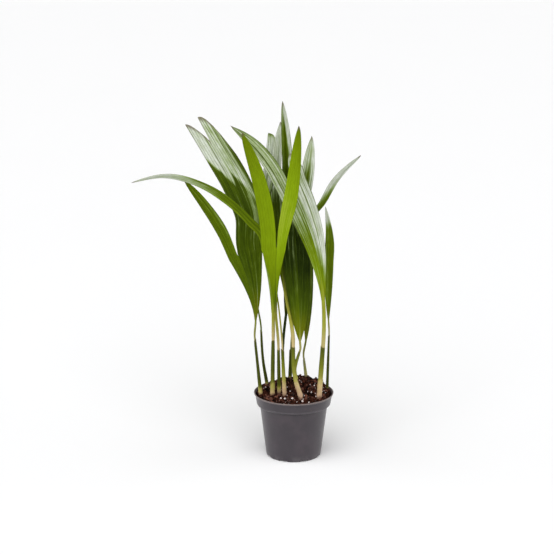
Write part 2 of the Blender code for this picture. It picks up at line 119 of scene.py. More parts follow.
def grid_quads(rows, columns, wrap=False):
    """Corner numbers of the squares of a grid whose points are numbered row by row."""
    first_columns = np.arange(columns if wrap else columns - 1)
    row, column = np.meshgrid(np.arange(rows - 1), first_columns, indexing="ij")
    after = (column + 1) % columns
    corners = [row * columns + column, row * columns + after, (row + 1) * columns + after,
               (row + 1) * columns + column]
    return np.stack(corners, axis=-1).reshape(-1, 4)


def closed_tube(rings):
    """Points and faces of a tube through the rings, with a fan of triangles to the middle of each end."""
    rows, columns = rings.shape[:2]
    points = np.concatenate([rings.reshape(-1, 3), [rings[0].mean(0), rings[-1].mean(0)]])
    here = np.arange(columns)
    after = (here + 1) % columns
    last = (rows - 1) * columns
    start = np.stack([after, here, np.full(columns, rows * columns)], axis=-1)
    end = np.stack([last + here, last + after, np.full(columns, rows * columns + 1)], axis=-1)
    return points, [grid_quads(rows, columns, wrap=True), start, end]


def on_tube(values):
    """A number for every point of a closed tube, from numbers on its rings."""
    return np.concatenate([values.ravel(), [values[0].mean(), values[-1].mean()]])


def make_piece(name, points, faces, finishes, fields=None, which=None, sharp=50.0):
    """A piece from points in mm and lists of faces; fields are numbers that its materials read.

    Which gives the number of each face's finish. Edges that bend by more than sharp degrees stay hard.
    """
    mesh = bpy.data.meshes.new(name)
    corners = np.concatenate([group.ravel() for group in faces])
    sizes = np.concatenate([np.full(len(group), group.shape[1]) for group in faces])
    mesh.vertices.add(len(points))
    mesh.vertices.foreach_set("co", (points * MM).astype(np.float32).ravel())
    mesh.loops.add(len(corners))
    mesh.loops.foreach_set("vertex_index", corners.astype(np.int32))
    mesh.polygons.add(len(sizes))
    mesh.polygons.foreach_set("loop_start", (np.cumsum(sizes) - sizes).astype(np.int32))
    for finish in finishes:
        mesh.materials.append(finish)
    if which is not None:
        mesh.polygons.foreach_set("material_index", np.asarray(which, np.int32))
    mesh.update(calc_edges=True)
    mended = mesh.validate()
    for key, values in (fields or {}).items():
        mesh.attributes.new(key, "FLOAT", "POINT").data.foreach_set("value", values.astype(np.float32))
    mesh.shade_smooth()
    mesh.set_sharp_from_angle(angle=math.radians(sharp))
    piece = bpy.data.objects.new(name, mesh)
    bpy.context.scene.collection.objects.link(piece)
    print(f"{name}: {len(points)} points, {len(sizes)} faces" + (", mended" if mended else ""))
    return piece


def stand_for(piece, node):
    """The piece moves with the plant and stands for a node of the frame, whose own part is hidden."""
    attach(piece, "root")
    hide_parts(node)


# %% [markdown]
# ## Curves
#
# A stalk leaves its sheath upright and bows out as it rises. The construction model draws it as a smooth
# curve through a few points, and the same curve is needed here, with more steps. A ready-made Bezier
# would not pass through the same places, so the rule is written again.

# %% Curves through knots
def spline(knots, values, start):
    """Points and unit directions of a smooth curve through the knots, for values from 0 to 1 along it.

    Between two knots it is a cubic. Its slope at an inner knot is the mean of the two chords there, each
    weighted by the length of the other. It sets out in the start direction, and its last slope is the one
    that leaves the last stretch without bend at its end.
    """
    knots = np.asarray(knots, float)
    chords = np.linalg.norm(np.diff(knots, axis=0), axis=1)
    share = chords / chords.sum()
    marks = np.concatenate([[0.0], np.cumsum(share)])
    steps = np.diff(knots, axis=0) / share[:, None]
    before, after = share[:-1, None], share[1:, None]
    slopes = np.zeros_like(knots)
    slopes[0] = np.linalg.norm(steps[0]) * start
    slopes[1:-1] = (steps[:-1] * after + steps[1:] * before) / (before + after)
    slopes[-1] = 1.5 * steps[-1] - 0.5 * slopes[-2]
    which = np.clip(np.searchsorted(marks, values, side="right") - 1, 0, len(share) - 1)
    t = ((values - marks[which]) / share[which])[:, None]
    a, b = knots[which], knots[which + 1]
    m, n = slopes[which] * share[which, None], slopes[which + 1] * share[which, None]
    points = a + (3 * t**2 - 2 * t**3) * (b - a) + (t**3 - 2 * t**2 + t) * m + (t**3 - t**2) * n
    ways = (6 * t - 6 * t**2) * (b - a) + (3 * t**2 - 4 * t + 1) * m + (3 * t**2 - 2 * t) * n
    return points, unit(ways)


def distance_along(points):
    """How far each point lies along the line through them all."""
    return np.concatenate([[0.0], np.cumsum(np.linalg.norm(np.diff(points, axis=0), axis=1))])


def level_across(ways, turn):
    """Across the path, as level as can be: the level direction less its part along the path, made unit."""
    level = np.array([math.cos(math.radians(turn)), math.sin(math.radians(turn)), 0.0])
    return unit(level - (ways @ level)[:, None] * ways)


def carried_across(ways, first):
    """Carries the across vector along the path without twist: each step drops the part along the path."""
    rows = [first]
    for way in ways[1:]:
        rows.append(unit(rows[-1] - (rows[-1] @ way) * way))
    return np.array(rows)


def waves(coordinates, lengths, seed, count=24):
    """A smooth random number at each place: the sum of cosines of way . place + phase, seeded.

    Each wave's length is drawn from between the two lengths, in the unit of the coordinates. The sum is
    divided by 1.5 times the square root of half their count, so that it mostly stays between -1 and 1.
    """
    rng = np.random.default_rng(seed)
    size = coordinates.shape[-1]
    ways = unit(rng.normal(size=(count, size))) * (2 * math.pi / rng.uniform(*lengths, (count, 1)))
    phases = rng.uniform(0.0, 2 * math.pi, count)
    return np.cos(coordinates @ ways.T + phases).sum(-1) / math.sqrt(count / 2) / 1.5


# %% [markdown]
# ## Shader maths in plain expressions
#
# A leaf's colour depends on several things at once: how old that part is, where its veins run, how near
# the edge it is. Node by node that is a long list, so sockets are wrapped in a small class that knows +
# - * and the power. Colours go through Mix nodes, because a Math node would turn them grey.

# %% Numbers in expressions
class Value:
    """A number socket that can be used in an expression; each operator adds a Math node."""

    def __init__(self, nodes, socket):
        self.nodes = nodes
        self.socket = socket

    def _with(self, operation, first, second):
        """A Math node of two numbers or values."""
        return self.nodes.number("ShaderNodeMath", {"operation": operation}, {0: first, 1: second})

    def __add__(self, other):
        return self._with("ADD", self, other)

    def __radd__(self, other):
        return self._with("ADD", other, self)

    def __sub__(self, other):
        return self._with("SUBTRACT", self, other)

    def __rsub__(self, other):
        return self._with("SUBTRACT", other, self)

    def __mul__(self, other):
        return self._with("MULTIPLY", self, other)

    def __rmul__(self, other):
        return self._with("MULTIPLY", other, self)

    def __pow__(self, other):
        return self._with("POWER", self, other)


# %% Node trees
class Nodes:
    """A node tree that is built by expressions."""

    def __init__(self, tree):
        self.tree = tree

    def node(self, kind, settings, inputs):
        """A new node: its settings are set first, then its sockets get values or links."""
        made = self.tree.nodes.new(kind)
        for key, value in settings.items():
            if key == "stops":
                self._set_stops(made.color_ramp, value)
            else:
                setattr(made, key, value)
        for key, value in inputs.items():
            self.feed(made.inputs[key], value)
        return made

    def _set_stops(self, ramp, stops):
        """A new ramp has a stop at 0 and one at 1; those between are added in order."""
        for position, _ in stops[1:-1]:
            ramp.elements.new(position)
        for element, (position, color) in zip(ramp.elements, stops):
            element.position = position
            element.color = (*color, 1.0)

    def feed(self, socket, value):
        """Links a value to a socket, or sets a plain number or colour on the socket itself."""
        if isinstance(value, Value):
            self.tree.links.new(value.socket, socket)
        elif isinstance(value, tuple) and len(value) == 3 and socket.type == "RGBA":
            socket.default_value = (*value, 1.0)
        else:
            socket.default_value = value

    def number(self, kind, settings, inputs, output=0):
        """A new node's output as a value."""
        return Value(self, self.node(kind, settings, inputs).outputs[output])

    def field(self, name):
        """A number stored at the points of the piece."""
        return self.number("ShaderNodeAttribute", {"attribute_name": name}, {}, "Fac")

    def place(self):
        """Object coordinates, in metres."""
        return self.number("ShaderNodeTexCoord", {}, {}, "Object")

    def vector(self, x, y, z):
        """A vector of three numbers."""
        return self.number("ShaderNodeCombineXYZ", {}, {0: x, 1: y, 2: z})

    def scaled(self, vector, factors):
        """The vector with each part times its factor; a small factor draws a noise out along that axis."""
        return self.number("ShaderNodeVectorMath", {"operation": "MULTIPLY"}, {0: vector, 1: factors})

    def part(self, vector, axis):
        """One of a vector's three numbers."""
        return self.number("ShaderNodeSeparateXYZ", {}, {0: vector}, axis)

    def noise(self, vector, scale, detail=3.0, roughness=0.5):
        """A cloudy number from 0 to 1, mostly between 0.3 and 0.7."""
        inputs = {"Vector": vector, "Scale": scale, "Detail": detail, "Roughness": roughness}
        return self.number("ShaderNodeTexNoise", {}, inputs)

    def cells(self, vector, scale):
        """Distance to the nearest of many scattered points."""
        return self.number("ShaderNodeTexVoronoi", {}, {"Vector": vector, "Scale": scale})

    def step(self, value, low, high, to_low=0.0, to_high=1.0):
        """Rises smoothly from to_low to to_high while the value goes from low to high."""
        inputs = {"Value": value, "From Min": low, "From Max": high, "To Min": to_low, "To Max": to_high}
        return self.number("ShaderNodeMapRange", {"interpolation_type": "SMOOTHSTEP"}, inputs)

    def mix(self, first, second, factor):
        """A colour between two colours."""
        settings = {"data_type": "RGBA", "clamp_factor": True}
        return self.number("ShaderNodeMix", settings, {0: factor, 6: first, 7: second}, 2)

    def coats(self, color, *layers):
        """A colour under more colours, laid over it in turn, each with how much of it shows."""
        for layer, amount in layers:
            color = self.mix(color, layer, amount)
        return color


# %% Finishes
def socket_name(key):
    """The name of a shader's socket from a plain keyword: base_color gives Base Color."""
    return key.replace("_", " ").title().replace("Ior", "IOR")


class Finish(Nodes):
    """A material: the nodes round one Principled BSDF."""

    def __init__(self, name, **constants):
        print("finish:", name)
        self.material = bpy.data.materials.new(name)
        self.material.use_nodes = True
        super().__init__(self.material.node_tree)
        self.shader = self.tree.nodes["Principled BSDF"]
        self.set(**constants)

    def set(self, **inputs):
        """Links or sets sockets of the Principled BSDF, such as base_color or roughness."""
        for key, value in inputs.items():
            self.feed(self.shader.inputs[socket_name(key)], value)
        return self.material

    def bump(self, height, distance, strength=1.0):
        """Tilts the shading normal as if the surface rose by height times distance, in metres."""
        inputs = {"Strength": strength, "Distance": distance, "Height": height}
        self.set(normal=self.number("ShaderNodeBump", {}, inputs))


# %% [markdown]
# ## The nursery pot
#
# It is a thin thermoformed cup: a sheet of grey plastic with a bead round the mouth, a collar, a sloping
# step that lets pots stack, and notches in the foot that drain it. A turned profile suits it, so the
# middle of the sheet is one profile carried round Z. The squares of the grid that lie in a notch are
# left out, and Solidify gives the rest its wall, so the notches are real openings with real edges.

# %% Pot sizes
POT_HEIGHT = 98.0
RIM_RADIUS = 60.0
LIP_HEIGHT = 2.0
LIP_DRAFT = 0.5                 # how much narrower the lip is at its lower edge
COLLAR_RADIUS = 58.0
COLLAR_FOOT_RADIUS = 55.7
COLLAR_HEIGHT = 17.0
CHAMFER_HEIGHT = 2.4            # height of the sloping step under the collar
BODY_RADIUS = 51.0
FOOT_RADIUS = 41.4
EDGE = 0.8                      # height of the slope from the collar out to the lip
COLLAR_BOTTOM = POT_HEIGHT - COLLAR_HEIGHT
BODY_TOP = COLLAR_BOTTOM - CHAMFER_HEIGHT
SHEET = 1.2                     # thickness of the visible wall
print(f"pot: {POT_HEIGHT} mm tall, {2 * RIM_RADIUS} mm across its rim")


# %% Pot plastic
def pot_plastic():
    """Matte grey plastic: a little mottled, scuffed pale at the lip, dusty with potting mix at the mouth.

    Height is in mm. Facing is 0 at the left and right of the pot and 1 at its front and back, where the
    edge of the collar has a painted highlight and the crease under it painted shade.
    """
    finish = Finish("pot_plastic", specular_ior_level=0.6)
    place = finish.place()
    height = finish.part(place, 2) * 1000.0
    facing = finish.step((finish.part(place, 1) * 1000.0) ** 2.0, 800.0, 2100.0)
    mottle = finish.noise(place, 55.0, 4.0, 0.6)
    streaks = finish.noise(finish.scaled(place, (1.0, 1.0, 0.12)), 240.0, 3.0, 0.6)
    grain = finish.noise(place, 2600.0, 2.0, 0.5)
    tone = (mottle - 0.5) * 0.9 + (streaks - 0.5) * 0.35 + 0.5
    reddish = finish.step(finish.noise(place, 28.0), 0.5, 0.72, 0.0, 0.35)
    scuffs = finish.step(finish.noise(finish.scaled(place, (1.0, 1.0, 4.0)), 300.0, 4.0, 0.7), 0.5, 0.66)
    lip = finish.step(height, POT_HEIGHT - LIP_HEIGHT - 0.5, POT_HEIGHT - 0.8)
    dust = finish.step(finish.noise(place, 130.0, 5.0, 0.7), 0.56, 0.75) * finish.step(height, 60.0, 96.0)
    # Painted highlight along the lower edge of the collar at front and back, and painted shade in the
    # crease under it.
    over_edge = finish.step(height, COLLAR_BOTTOM - 0.4, COLLAR_BOTTOM + 0.4)
    painted_edge_highlight = over_edge * finish.step(height, COLLAR_BOTTOM + 3.2, COLLAR_BOTTOM + 1.2) * facing
    over_crease = finish.step(height, BODY_TOP - 0.2, BODY_TOP + 0.3)
    painted_crease_shade = over_crease * finish.step(height, COLLAR_BOTTOM, COLLAR_BOTTOM - 0.6) * facing
    foot = finish.step(height, 12.0, 0.0, 0.0, 0.5) * finish.step(mottle, 0.4, 0.6)
    color = finish.coats(
        finish.mix((0.016, 0.011, 0.016), (0.033, 0.024, 0.032), tone),
        ((0.052, 0.034, 0.043), reddish),
        ((0.26, 0.205, 0.19), lip * (scuffs * 0.5 + 0.5)),
        ((0.10, 0.062, 0.045), dust * 0.45),
        ((0.115, 0.106, 0.115), painted_edge_highlight * (scuffs * 0.6 + 0.2)),
        ((0.012, 0.011, 0.012), painted_crease_shade * 0.85),
        ((0.110, 0.100, 0.102), foot),
    )
    finish.bump(grain + streaks * 0.4, 0.00006)
    return finish.set(base_color=color, roughness=0.28 + mottle * 0.12)


# %% [markdown]
# The profile is a line through the corners of the pot, with each corner rounded off by a short curve. It
# is sampled every couple of millimetres, plus at the two heights where a notch begins and ends.

# %% Pot profile
def rounded(corners, cut, steps=5):
    """A line through 2D corners where each inner corner gives way to a curve that starts a cut before it.

    The curve from A to B round the corner P is (1-t)^2 A + 2t(1-t) P + t^2 B.
    """
    corners = np.asarray(corners, float)
    ways = unit(np.diff(corners, axis=0))
    inner = corners[1:-1]
    cut = np.asarray(cut, float)[:, None]
    before, after = inner - cut * ways[:-1], inner + cut * ways[1:]
    t = np.linspace(0.0, 1.0, steps)[None, :, None]
    curves = (1 - t)**2 * before[:, None] + 2 * t * (1 - t) * inner[:, None] + t**2 * after[:, None]
    return np.concatenate([corners[:1], curves.reshape(-1, 2), corners[-1:]])


SLOTS = 8
SLOT_HEIGHT = 2.5
SLOT_INNER = 36.9               # radius at which a notch starts in the floor
CORNER_CUTS = (1.2, 0.8, 0.7, 0.4, 0.4)
ROW_STEPS = (2.0, 0.05)         # the usual and the least distance between rows


def pot_rows():
    """Radius and height of the rows of the pot's sheet, from the middle of the floor to the rim."""
    half = SHEET / 2
    lip = POT_HEIGHT - LIP_HEIGHT
    corners = [
        (0.5, half), (FOOT_RADIUS - half, half), (BODY_RADIUS - half, BODY_TOP),
        (COLLAR_FOOT_RADIUS - half, COLLAR_BOTTOM), (COLLAR_RADIUS - half, lip - EDGE),
        (RIM_RADIUS - LIP_DRAFT - half, lip), (RIM_RADIUS - half, POT_HEIGHT),
    ]
    line = rounded(corners, CORNER_CUTS)
    along = distance_along(line)
    floor = line[:, 1] < half + 0.01
    wall = ~floor
    slot_start = np.interp(SLOT_INNER, line[floor, 0], along[floor])
    slot_end = np.interp(SLOT_HEIGHT, line[wall, 1], along[wall])
    steps = np.concatenate([along, np.arange(0.0, along[-1], ROW_STEPS[0]), [slot_start, slot_end]])
    steps = np.unique(np.round(steps, 3))
    steps = steps[np.concatenate([[True], np.diff(steps) > ROW_STEPS[1]])]
    return np.interp(steps, along, line[:, 0]), np.interp(steps, along, line[:, 1])


# %% Pot
SLOT_HALF_ANGLE = math.radians(9.0)
EDGE_ROUNDING = 0.25


def pot_shell(columns=240):
    """The sheet carried round Z, less the squares of the eight notches.

    A row of radius r and height h becomes the ring (r cos a, r sin a, h).
    """
    radius, height = pot_rows()
    angle = 2 * math.pi * np.arange(columns) / columns
    rings = np.stack([radius[:, None] * np.cos(angle), radius[:, None] * np.sin(angle),
                      np.broadcast_to(height[:, None], (len(radius), columns))], axis=-1)
    points, (quads, start, _) = closed_tube(rings)
    middle_radius = (radius[:-1] + radius[1:])[:, None] / 2
    middle_height = (height[:-1] + height[1:])[:, None] / 2
    sector = 2 * math.pi / SLOTS
    off = np.abs((angle + math.pi / columns) % sector - sector / 2)
    slot = (middle_radius > SLOT_INNER) & (middle_height < SLOT_HEIGHT) & (off < SLOT_HALF_ANGLE)[None, :]
    return points[:-1], [quads[~slot.ravel()], start]


pot = make_piece("nursery_pot", *pot_shell(), [pot_plastic()])
wall = pot.modifiers.new("wall", "SOLIDIFY")
wall.thickness = SHEET * MM
wall.offset = 0.0
wall.use_even_offset = True
edges = pot.modifiers.new("edges", "BEVEL")
edges.width = EDGE_ROUNDING * MM
edges.segments = 2
edges.limit_method = "ANGLE"
edges.angle_limit = math.radians(60.0)
stand_for(pot, "pot")

# %% [markdown]
# ## The potting mix
#
# It is dark, wet peat with reddish bark and white perlite, heaped a little at the back. The bed is a
# closed form that follows the height of the construction model, with a relief of seeded waves. Grain by
# grain it could be a particle system, but particles are lost on export, so crumbs, bark and perlite are
# arrays of small lumps, each kind joined into one mesh.

# %% Soil sizes
SOIL_FRONT = 94.0               # height at the front wall
SOIL_SLOPE = 0.055              # rise for each mm towards the back
SOIL_HEAP = 9.0
HEAP_PLACE = (18.0, 36.0)
HEAP_SPREAD = (38.0, 26.0)
ROLL_HEIGHT = 0.6
ROLL_WAVES = (0.31, 0.27)       # radians for each mm across and back


def soil_height(x, y):
    """Height of the soil in mm: it rises to the back, has a heap at the back right and rolls a little.

    The heap is its height times exp(-across^2 - back^2), and a roll is sin(a x) cos(b y).
    """
    across = (x - HEAP_PLACE[0]) / HEAP_SPREAD[0]
    back = (y - HEAP_PLACE[1]) / HEAP_SPREAD[1]
    rolls = ROLL_HEIGHT * np.sin(ROLL_WAVES[0] * x) * np.cos(ROLL_WAVES[1] * y)
    return SOIL_FRONT + SOIL_SLOPE * (y + BODY_RADIUS) + SOIL_HEAP * np.exp(-across**2 - back**2) + rolls


print(f"soil at the front: {soil_height(0.0, -BODY_RADIUS):.1f} mm")


# %% Soil relief
CLODS = [                       # place, size and rise of the clods and hollows that show at the back
    (10.0, 40.0, 5.0, 2.2), (27.0, 40.0, 6.5, -4.5), (36.0, 34.0, 3.5, 1.2), (48.0, 22.0, 6.0, -1.5),
    (-10.0, 34.0, 4.0, 1.5),
]
RELIEF_DEPTH = 0.8              # how far the middle of the relief lies under the model's surface


def soil_surface(x, y):
    """The soil's height with its relief: clods, long waves for lumps and short ones for crumbs.

    A clod adds its rise times exp(-(distance / size)^2).
    """
    flat = np.stack([x, y], axis=-1)
    relief = 0.9 * waves(flat, (9.0, 22.0), 11) + 0.55 * waves(flat, (3.0, 6.0), 12)
    for clod_x, clod_y, size, rise in CLODS:
        relief = relief + rise * np.exp(-((x - clod_x)**2 + (y - clod_y)**2) / size**2)
    return soil_height(x, y) - RELIEF_DEPTH + relief


# %% Soil finishes
def soil_finish():
    """Wet peat: nearly black in some patches and reddish brown in others, glossy here and there."""
    finish = Finish("potting_mix", specular_ior_level=0.03)
    place = finish.place()
    tone = finish.field("tone")
    clumps = finish.noise(place, 90.0, 3.0, 0.6)
    fine = finish.noise(place, 900.0, 4.0, 0.7)
    redness = tone * 0.75 + (clumps - 0.5) * 1.3 + (fine - 0.5) * 0.5 - 0.12
    color = finish.mix((0.004, 0.002, 0.0015), (0.105, 0.030, 0.016), redness)
    color = finish.mix(color, (0.20, 0.085, 0.050), finish.step(fine + tone * 0.2, 0.70, 0.90, 0.0, 0.6))
    finish.bump(fine, 0.0006)
    return finish.set(base_color=color, roughness=0.62 + fine * 0.3)


def bark_finish():
    """Chips of composted bark: reddish brown with grain along each chip."""
    finish = Finish("bark", specular_ior_level=0.35)
    place = finish.place()
    tone = finish.field("tone")
    grain = finish.noise(place, 700.0, 4.0, 0.7)
    color = finish.mix((0.016, 0.005, 0.003), (0.185, 0.062, 0.034), tone * 0.8 + (grain - 0.5) * 0.9)
    finish.bump(grain, 0.0004)
    return finish.set(base_color=color, roughness=0.7 + grain * 0.2)


def perlite_finish():
    """Perlite: white foamed glass, stained a little pink and brown by the peat."""
    finish = Finish("perlite", specular_ior_level=0.5)
    place = finish.place()
    stain = finish.noise(place, 420.0, 4.0, 0.7)
    pits = finish.cells(place, 1500.0)
    stained = finish.step(stain + finish.field("tone") * 0.25, 0.5, 0.85)
    color = finish.mix((0.88, 0.80, 0.77), (0.52, 0.27, 0.22), stained)
    finish.bump(pits, 0.0004)
    return finish.set(base_color=color, roughness=0.75 + pits * 0.1)


# %% Soil bed
SOIL_BOTTOM = 2.5
STEP_LIFT = 1.3                 # how much higher the step is for the soil inside
WALL_ROOM = 0.6                 # room between the soil and the wall
SOIL_EDGE = 55.4                # radius of the soil's surface at the wall


def soil_bed(columns=144, rings=48):
    """The mix as closed rings: up along the wall from the pot's floor, then over the top to the middle."""
    levels = np.array([SOIL_BOTTOM, BODY_TOP + STEP_LIFT, COLLAR_BOTTOM + STEP_LIFT])
    radii = np.array([FOOT_RADIUS, BODY_RADIUS, COLLAR_FOOT_RADIUS]) - SHEET - WALL_ROOM
    angle = 2 * math.pi * np.arange(columns) / columns
    reach = SOIL_EDGE * np.linspace(1.0, 0.01, rings)
    radius = np.concatenate([radii, reach])[:, None]
    x, y = radius * np.cos(angle), radius * np.sin(angle)
    top = soil_surface(x, y)
    z = np.concatenate([np.broadcast_to(levels[:, None], (3, columns)), top[3:]])
    return np.stack([x, y, z], axis=-1)


bed_rings = soil_bed()
bed_points, bed_faces = closed_tube(bed_rings)
peat = soil_finish()
bed_tone = 0.35 + 0.3 * waves(bed_points, (6.0, 14.0), 13)
bed = make_piece("soil_bed", bed_points, bed_faces, [peat], {"tone": bed_tone}, sharp=80.0)
stand_for(bed, "soil")

# %% [markdown]
# A crumb is a small uneven ball. All crumbs share one template of a few dozen faces, and each is
# stretched, dented, turned and set down by arrays that hold one row for each crumb. The turns are random
# quaternions, which are even in all directions, where three random angles would not be.

# %% Random turns
def random_turns(rng, count):
    """Turning matrices of random unit quaternions w, x, y, z."""
    w, x, y, z = unit(rng.normal(size=(count, 4))).T
    rows = [1 - 2 * (y*y + z*z), 2 * (x*y - w*z), 2 * (x*z + w*y),
            2 * (x*y + w*z), 1 - 2 * (x*x + z*z), 2 * (y*z - w*x),
            2 * (x*z - w*y), 2 * (y*z + w*x), 1 - 2 * (x*x + y*y)]
    return np.stack(rows, axis=-1).reshape(count, 3, 3)


# %% Lumps
def small_ball(rows=3, columns=6):
    """Points and faces of a coarse ball of radius 1: two poles, and rings between them.

    A ring lies at (sin d cos a, sin d sin a, cos d), for the angles d from the pole and a round it.
    """
    down = math.pi * (1 - np.arange(1, rows + 1) / (rows + 1))[:, None]
    turn = 2 * math.pi * np.arange(columns) / columns
    rings = np.stack([np.sin(down) * np.cos(turn), np.sin(down) * np.sin(turn),
                      np.broadcast_to(np.cos(down), (rows, columns))], axis=-1)
    points, faces = closed_tube(rings)
    points[-2:] = [(0.0, 0.0, -1.0), (0.0, 0.0, 1.0)]
    return points, faces


def lumps(centres, sizes, dents, seed):
    """Points and faces of many balls, each stretched to its three sizes, dented, turned and moved.

    A point of the ball p becomes centre + turn (size * p * (1 + dent * random number)).
    """
    rng = np.random.default_rng(seed)
    points, faces = small_ball()
    count = len(centres)
    uneven = 1.0 + dents * rng.uniform(-1.0, 1.0, (count, len(points), 1))
    shaped = points[None] * uneven * sizes[:, None, :]
    turned = np.einsum("nij,npj->npi", random_turns(rng, count), shaped)
    starts = np.arange(count)[:, None, None] * len(points)
    all_faces = [(group[None] + starts).reshape(-1, group.shape[1]) for group in faces]
    return (turned + centres[:, None]).reshape(-1, 3), all_faces


# %% Strewn pieces
def scattered(rng, count, reach):
    """Places spread evenly on a disc: the radius is reach times the square root of a random number."""
    radius = reach * np.sqrt(rng.uniform(0.0, 1.0, count))
    angle = rng.uniform(0.0, 2 * math.pi, count)
    return radius * np.cos(angle), radius * np.sin(angle)


def laid_lumps(x, y, sizes, lift, dents, seed):
    """Lumps lifted a little above the soil at their places, each with a random tone of its own."""
    centres = np.stack([x, y, soil_surface(x, y) + lift], axis=-1)
    points, faces = lumps(centres, sizes, dents, seed)
    tone = np.random.default_rng(seed + 1).uniform(0.0, 1.0, len(x))
    return points, faces, np.repeat(tone, len(points) // len(x))


SMALL_POWER = 2.2               # the higher, the more of the lumps are small


def strew(name, finish, count, reach, size, flatness, lift, dents, seed):
    """A piece of lumps strewn over the soil, with widths of smallest + range * random ^ power."""
    rng = np.random.default_rng(seed)
    x, y = scattered(rng, count, reach)
    width = size[0] + (size[1] - size[0]) * rng.uniform(0.0, 1.0, count) ** SMALL_POWER
    sizes = width[:, None] * rng.uniform(*flatness, (count, 3)) / 2
    points, faces, tone = laid_lumps(x, y, sizes, lift * width, dents, seed + 1)
    piece = make_piece(name, points, faces, [finish], {"tone": tone}, sharp=70.0)
    stand_for(piece, "soil")


perlite = perlite_finish()
strew("soil_crumbs", peat, 2600, 54.2, (1.0, 5.0), (0.6, 1.1), 0.12, 0.28, 21)
strew("bark_chips", bark_finish(), 330, 52.5, (1.6, 5.5), (0.35, 1.5), 0.22, 0.2, 31)
strew("perlite_grains", perlite, 190, 53.0, (0.6, 2.2), (0.75, 1.1), 0.3, 0.2, 41)

# %% [markdown]
# The largest white grains are what the eye picks out, so those at the front of the pot are set down one
# by one, each given by its place and its width.

# %% Large grains
GRAIN_SHARES = np.array([[0.55, 0.5, 0.45]])        # half sizes as shares of the width
GRAIN_LIFT = 0.35
LARGE_GRAINS = np.array([
    (-19.5, -26.5, 3.2), (-13.5, -28.0, 3.4), (-2.0, -27.0, 4.4), (14.5, -10.0, 2.4), (14.0, -25.0, 2.4),
    (12.5, -39.0, 3.6), (22.5, -39.5, 3.2), (20.5, -1.5, 2.8), (27.0, -4.5, 3.2), (32.5, -5.0, 2.6),
    (5.0, -41.0, 3.0), (-9.0, -37.0, 2.6), (24.0, -20.0, 3.0), (16.0, -17.0, 2.6), (33.0, -17.0, 2.6),
    (25.5, 16.5, 2.2), (31.5, 15.5, 2.4), (11.0, 26.0, 2.4), (17.0, 26.5, 2.0), (-9.5, 16.0, 2.2),
    (50.0, 20.0, 1.8), (-18.5, 20.0, 1.6), (-5.5, 0.5, 2.0), (-39.0, 30.0, 1.8),
])
grain_x, grain_y, grain_width = LARGE_GRAINS.T
grain_sizes = grain_width[:, None] * GRAIN_SHARES
points, faces, tone = laid_lumps(grain_x, grain_y, grain_sizes, GRAIN_LIFT * grain_width, 0.12, 51)
grains = make_piece("large_grains", points, faces, [perlite], {"tone": tone * 0.5}, sharp=80.0)
stand_for(grains, "soil")

# %% [markdown]
# ## The stems
#
# What looks like a stem on a young palm is the sheath of its leaf, rolled round the stalk of the next.
# Each has a dry, pale scale round its foot, a long green tube and a slanted mouth with a thin brown
# edge. A plain cylinder would miss the mouth, so the rings run up the outside, over the lip and a little
# way down inside.

# %% Stem sizes
class Stem(NamedTuple):
    """Where it stands, the points up to its mouth, its radii, and how it is coloured.

    Pale is the height in mm to which its foot is bleached, and shade how light its green is. A stem with a
    scale still wears the dry scale of its first leaf round the bleached part.
    """
    foot: tuple
    path: list
    radii: tuple
    pale: float
    shade: float
    scale: bool = False


STEMS = {
    "stem_01": Stem((-50, -8), [(-58, -6, 181)], (2.8, 1.7), 8.0, 0.30, True),
    "stem_02": Stem((-41, 31), [(-46, 27, 136), (-49, 20, 187)], (2.5, 1.6), 3.0, 0.20),
    "stem_03": Stem((-32, -9), [(-31, -6, 179)], (3.3, 2.6), 13.0, 0.50, True),
    "stem_04": Stem((-22, -3), [(-23, -8, 167)], (2.8, 2.2), 7.0, 0.55, True),
    "stem_05": Stem((-14, -12), [(-17, -8, 166)], (3.0, 2.3), 19.0, 0.85, True),
    "stem_06": Stem((-15, 38), [(-16, 38, 148)], (2.6, 1.8), 2.0, 0.25),
    "stem_07": Stem((-5, 46), [(-4, 43, 149)], (2.9, 2.4), 2.0, 0.30),
    "stem_08": Stem((10, -24), [(1, -20, 134), (8, -12, 163)], (3.5, 1.9), 24.0, 0.70, True),
    "stem_09": Stem((19, 44), [(16, 46, 135)], (2.5, 1.6), 6.0, 1.20),
    "stem_10": Stem((38, -21), [(43, -16, 173)], (3.7, 3.4), 22.0, 0.65, True),
    "stem_11": Stem((51, 11), [(53, 16, 181)], (2.3, 1.5), 1.0, 0.15),
}
PARTED_STEM = "stem_08"
SECOND_PATH = [(1, -20, 134), (-1, -12, 172)]
SECOND_RADII = (3.7, 2.8)
SECOND_MOUTH = "second mouth"
SECOND_START = 0.35             # share of the second sheath's length that is hidden in the first
print(f"{len(STEMS)} stems")


# %% Sheath finishes
SHEATH_COLORS = [               # from the soil up: pinkish, straw, yellow-green, olive
    (0.0, (0.48, 0.31, 0.21)), (0.2, (0.47, 0.35, 0.16)), (0.38, (0.33, 0.31, 0.060)),
    (0.65, (0.165, 0.180, 0.014)), (1.0, (0.072, 0.086, 0.005)),
]


def greener(finish):
    """1 for the stems of a low shade, whose feet are bleached less, and 0 for the light ones."""
    return finish.step(finish.field("shade"), 0.68, 0.52)


def rising_color(finish, fibres, bands):
    """The bleached foot of a stem that turns green as it rises; the bleached part ends near 0.4."""
    climb = finish.field("rise") * 0.30 + greener(finish) * 0.11
    climb = climb + (bands - 0.5) * 0.25 + (fibres - 0.5) * 0.16
    return finish.number("ShaderNodeValToRGB", {"stops": SHEATH_COLORS}, {0: climb})


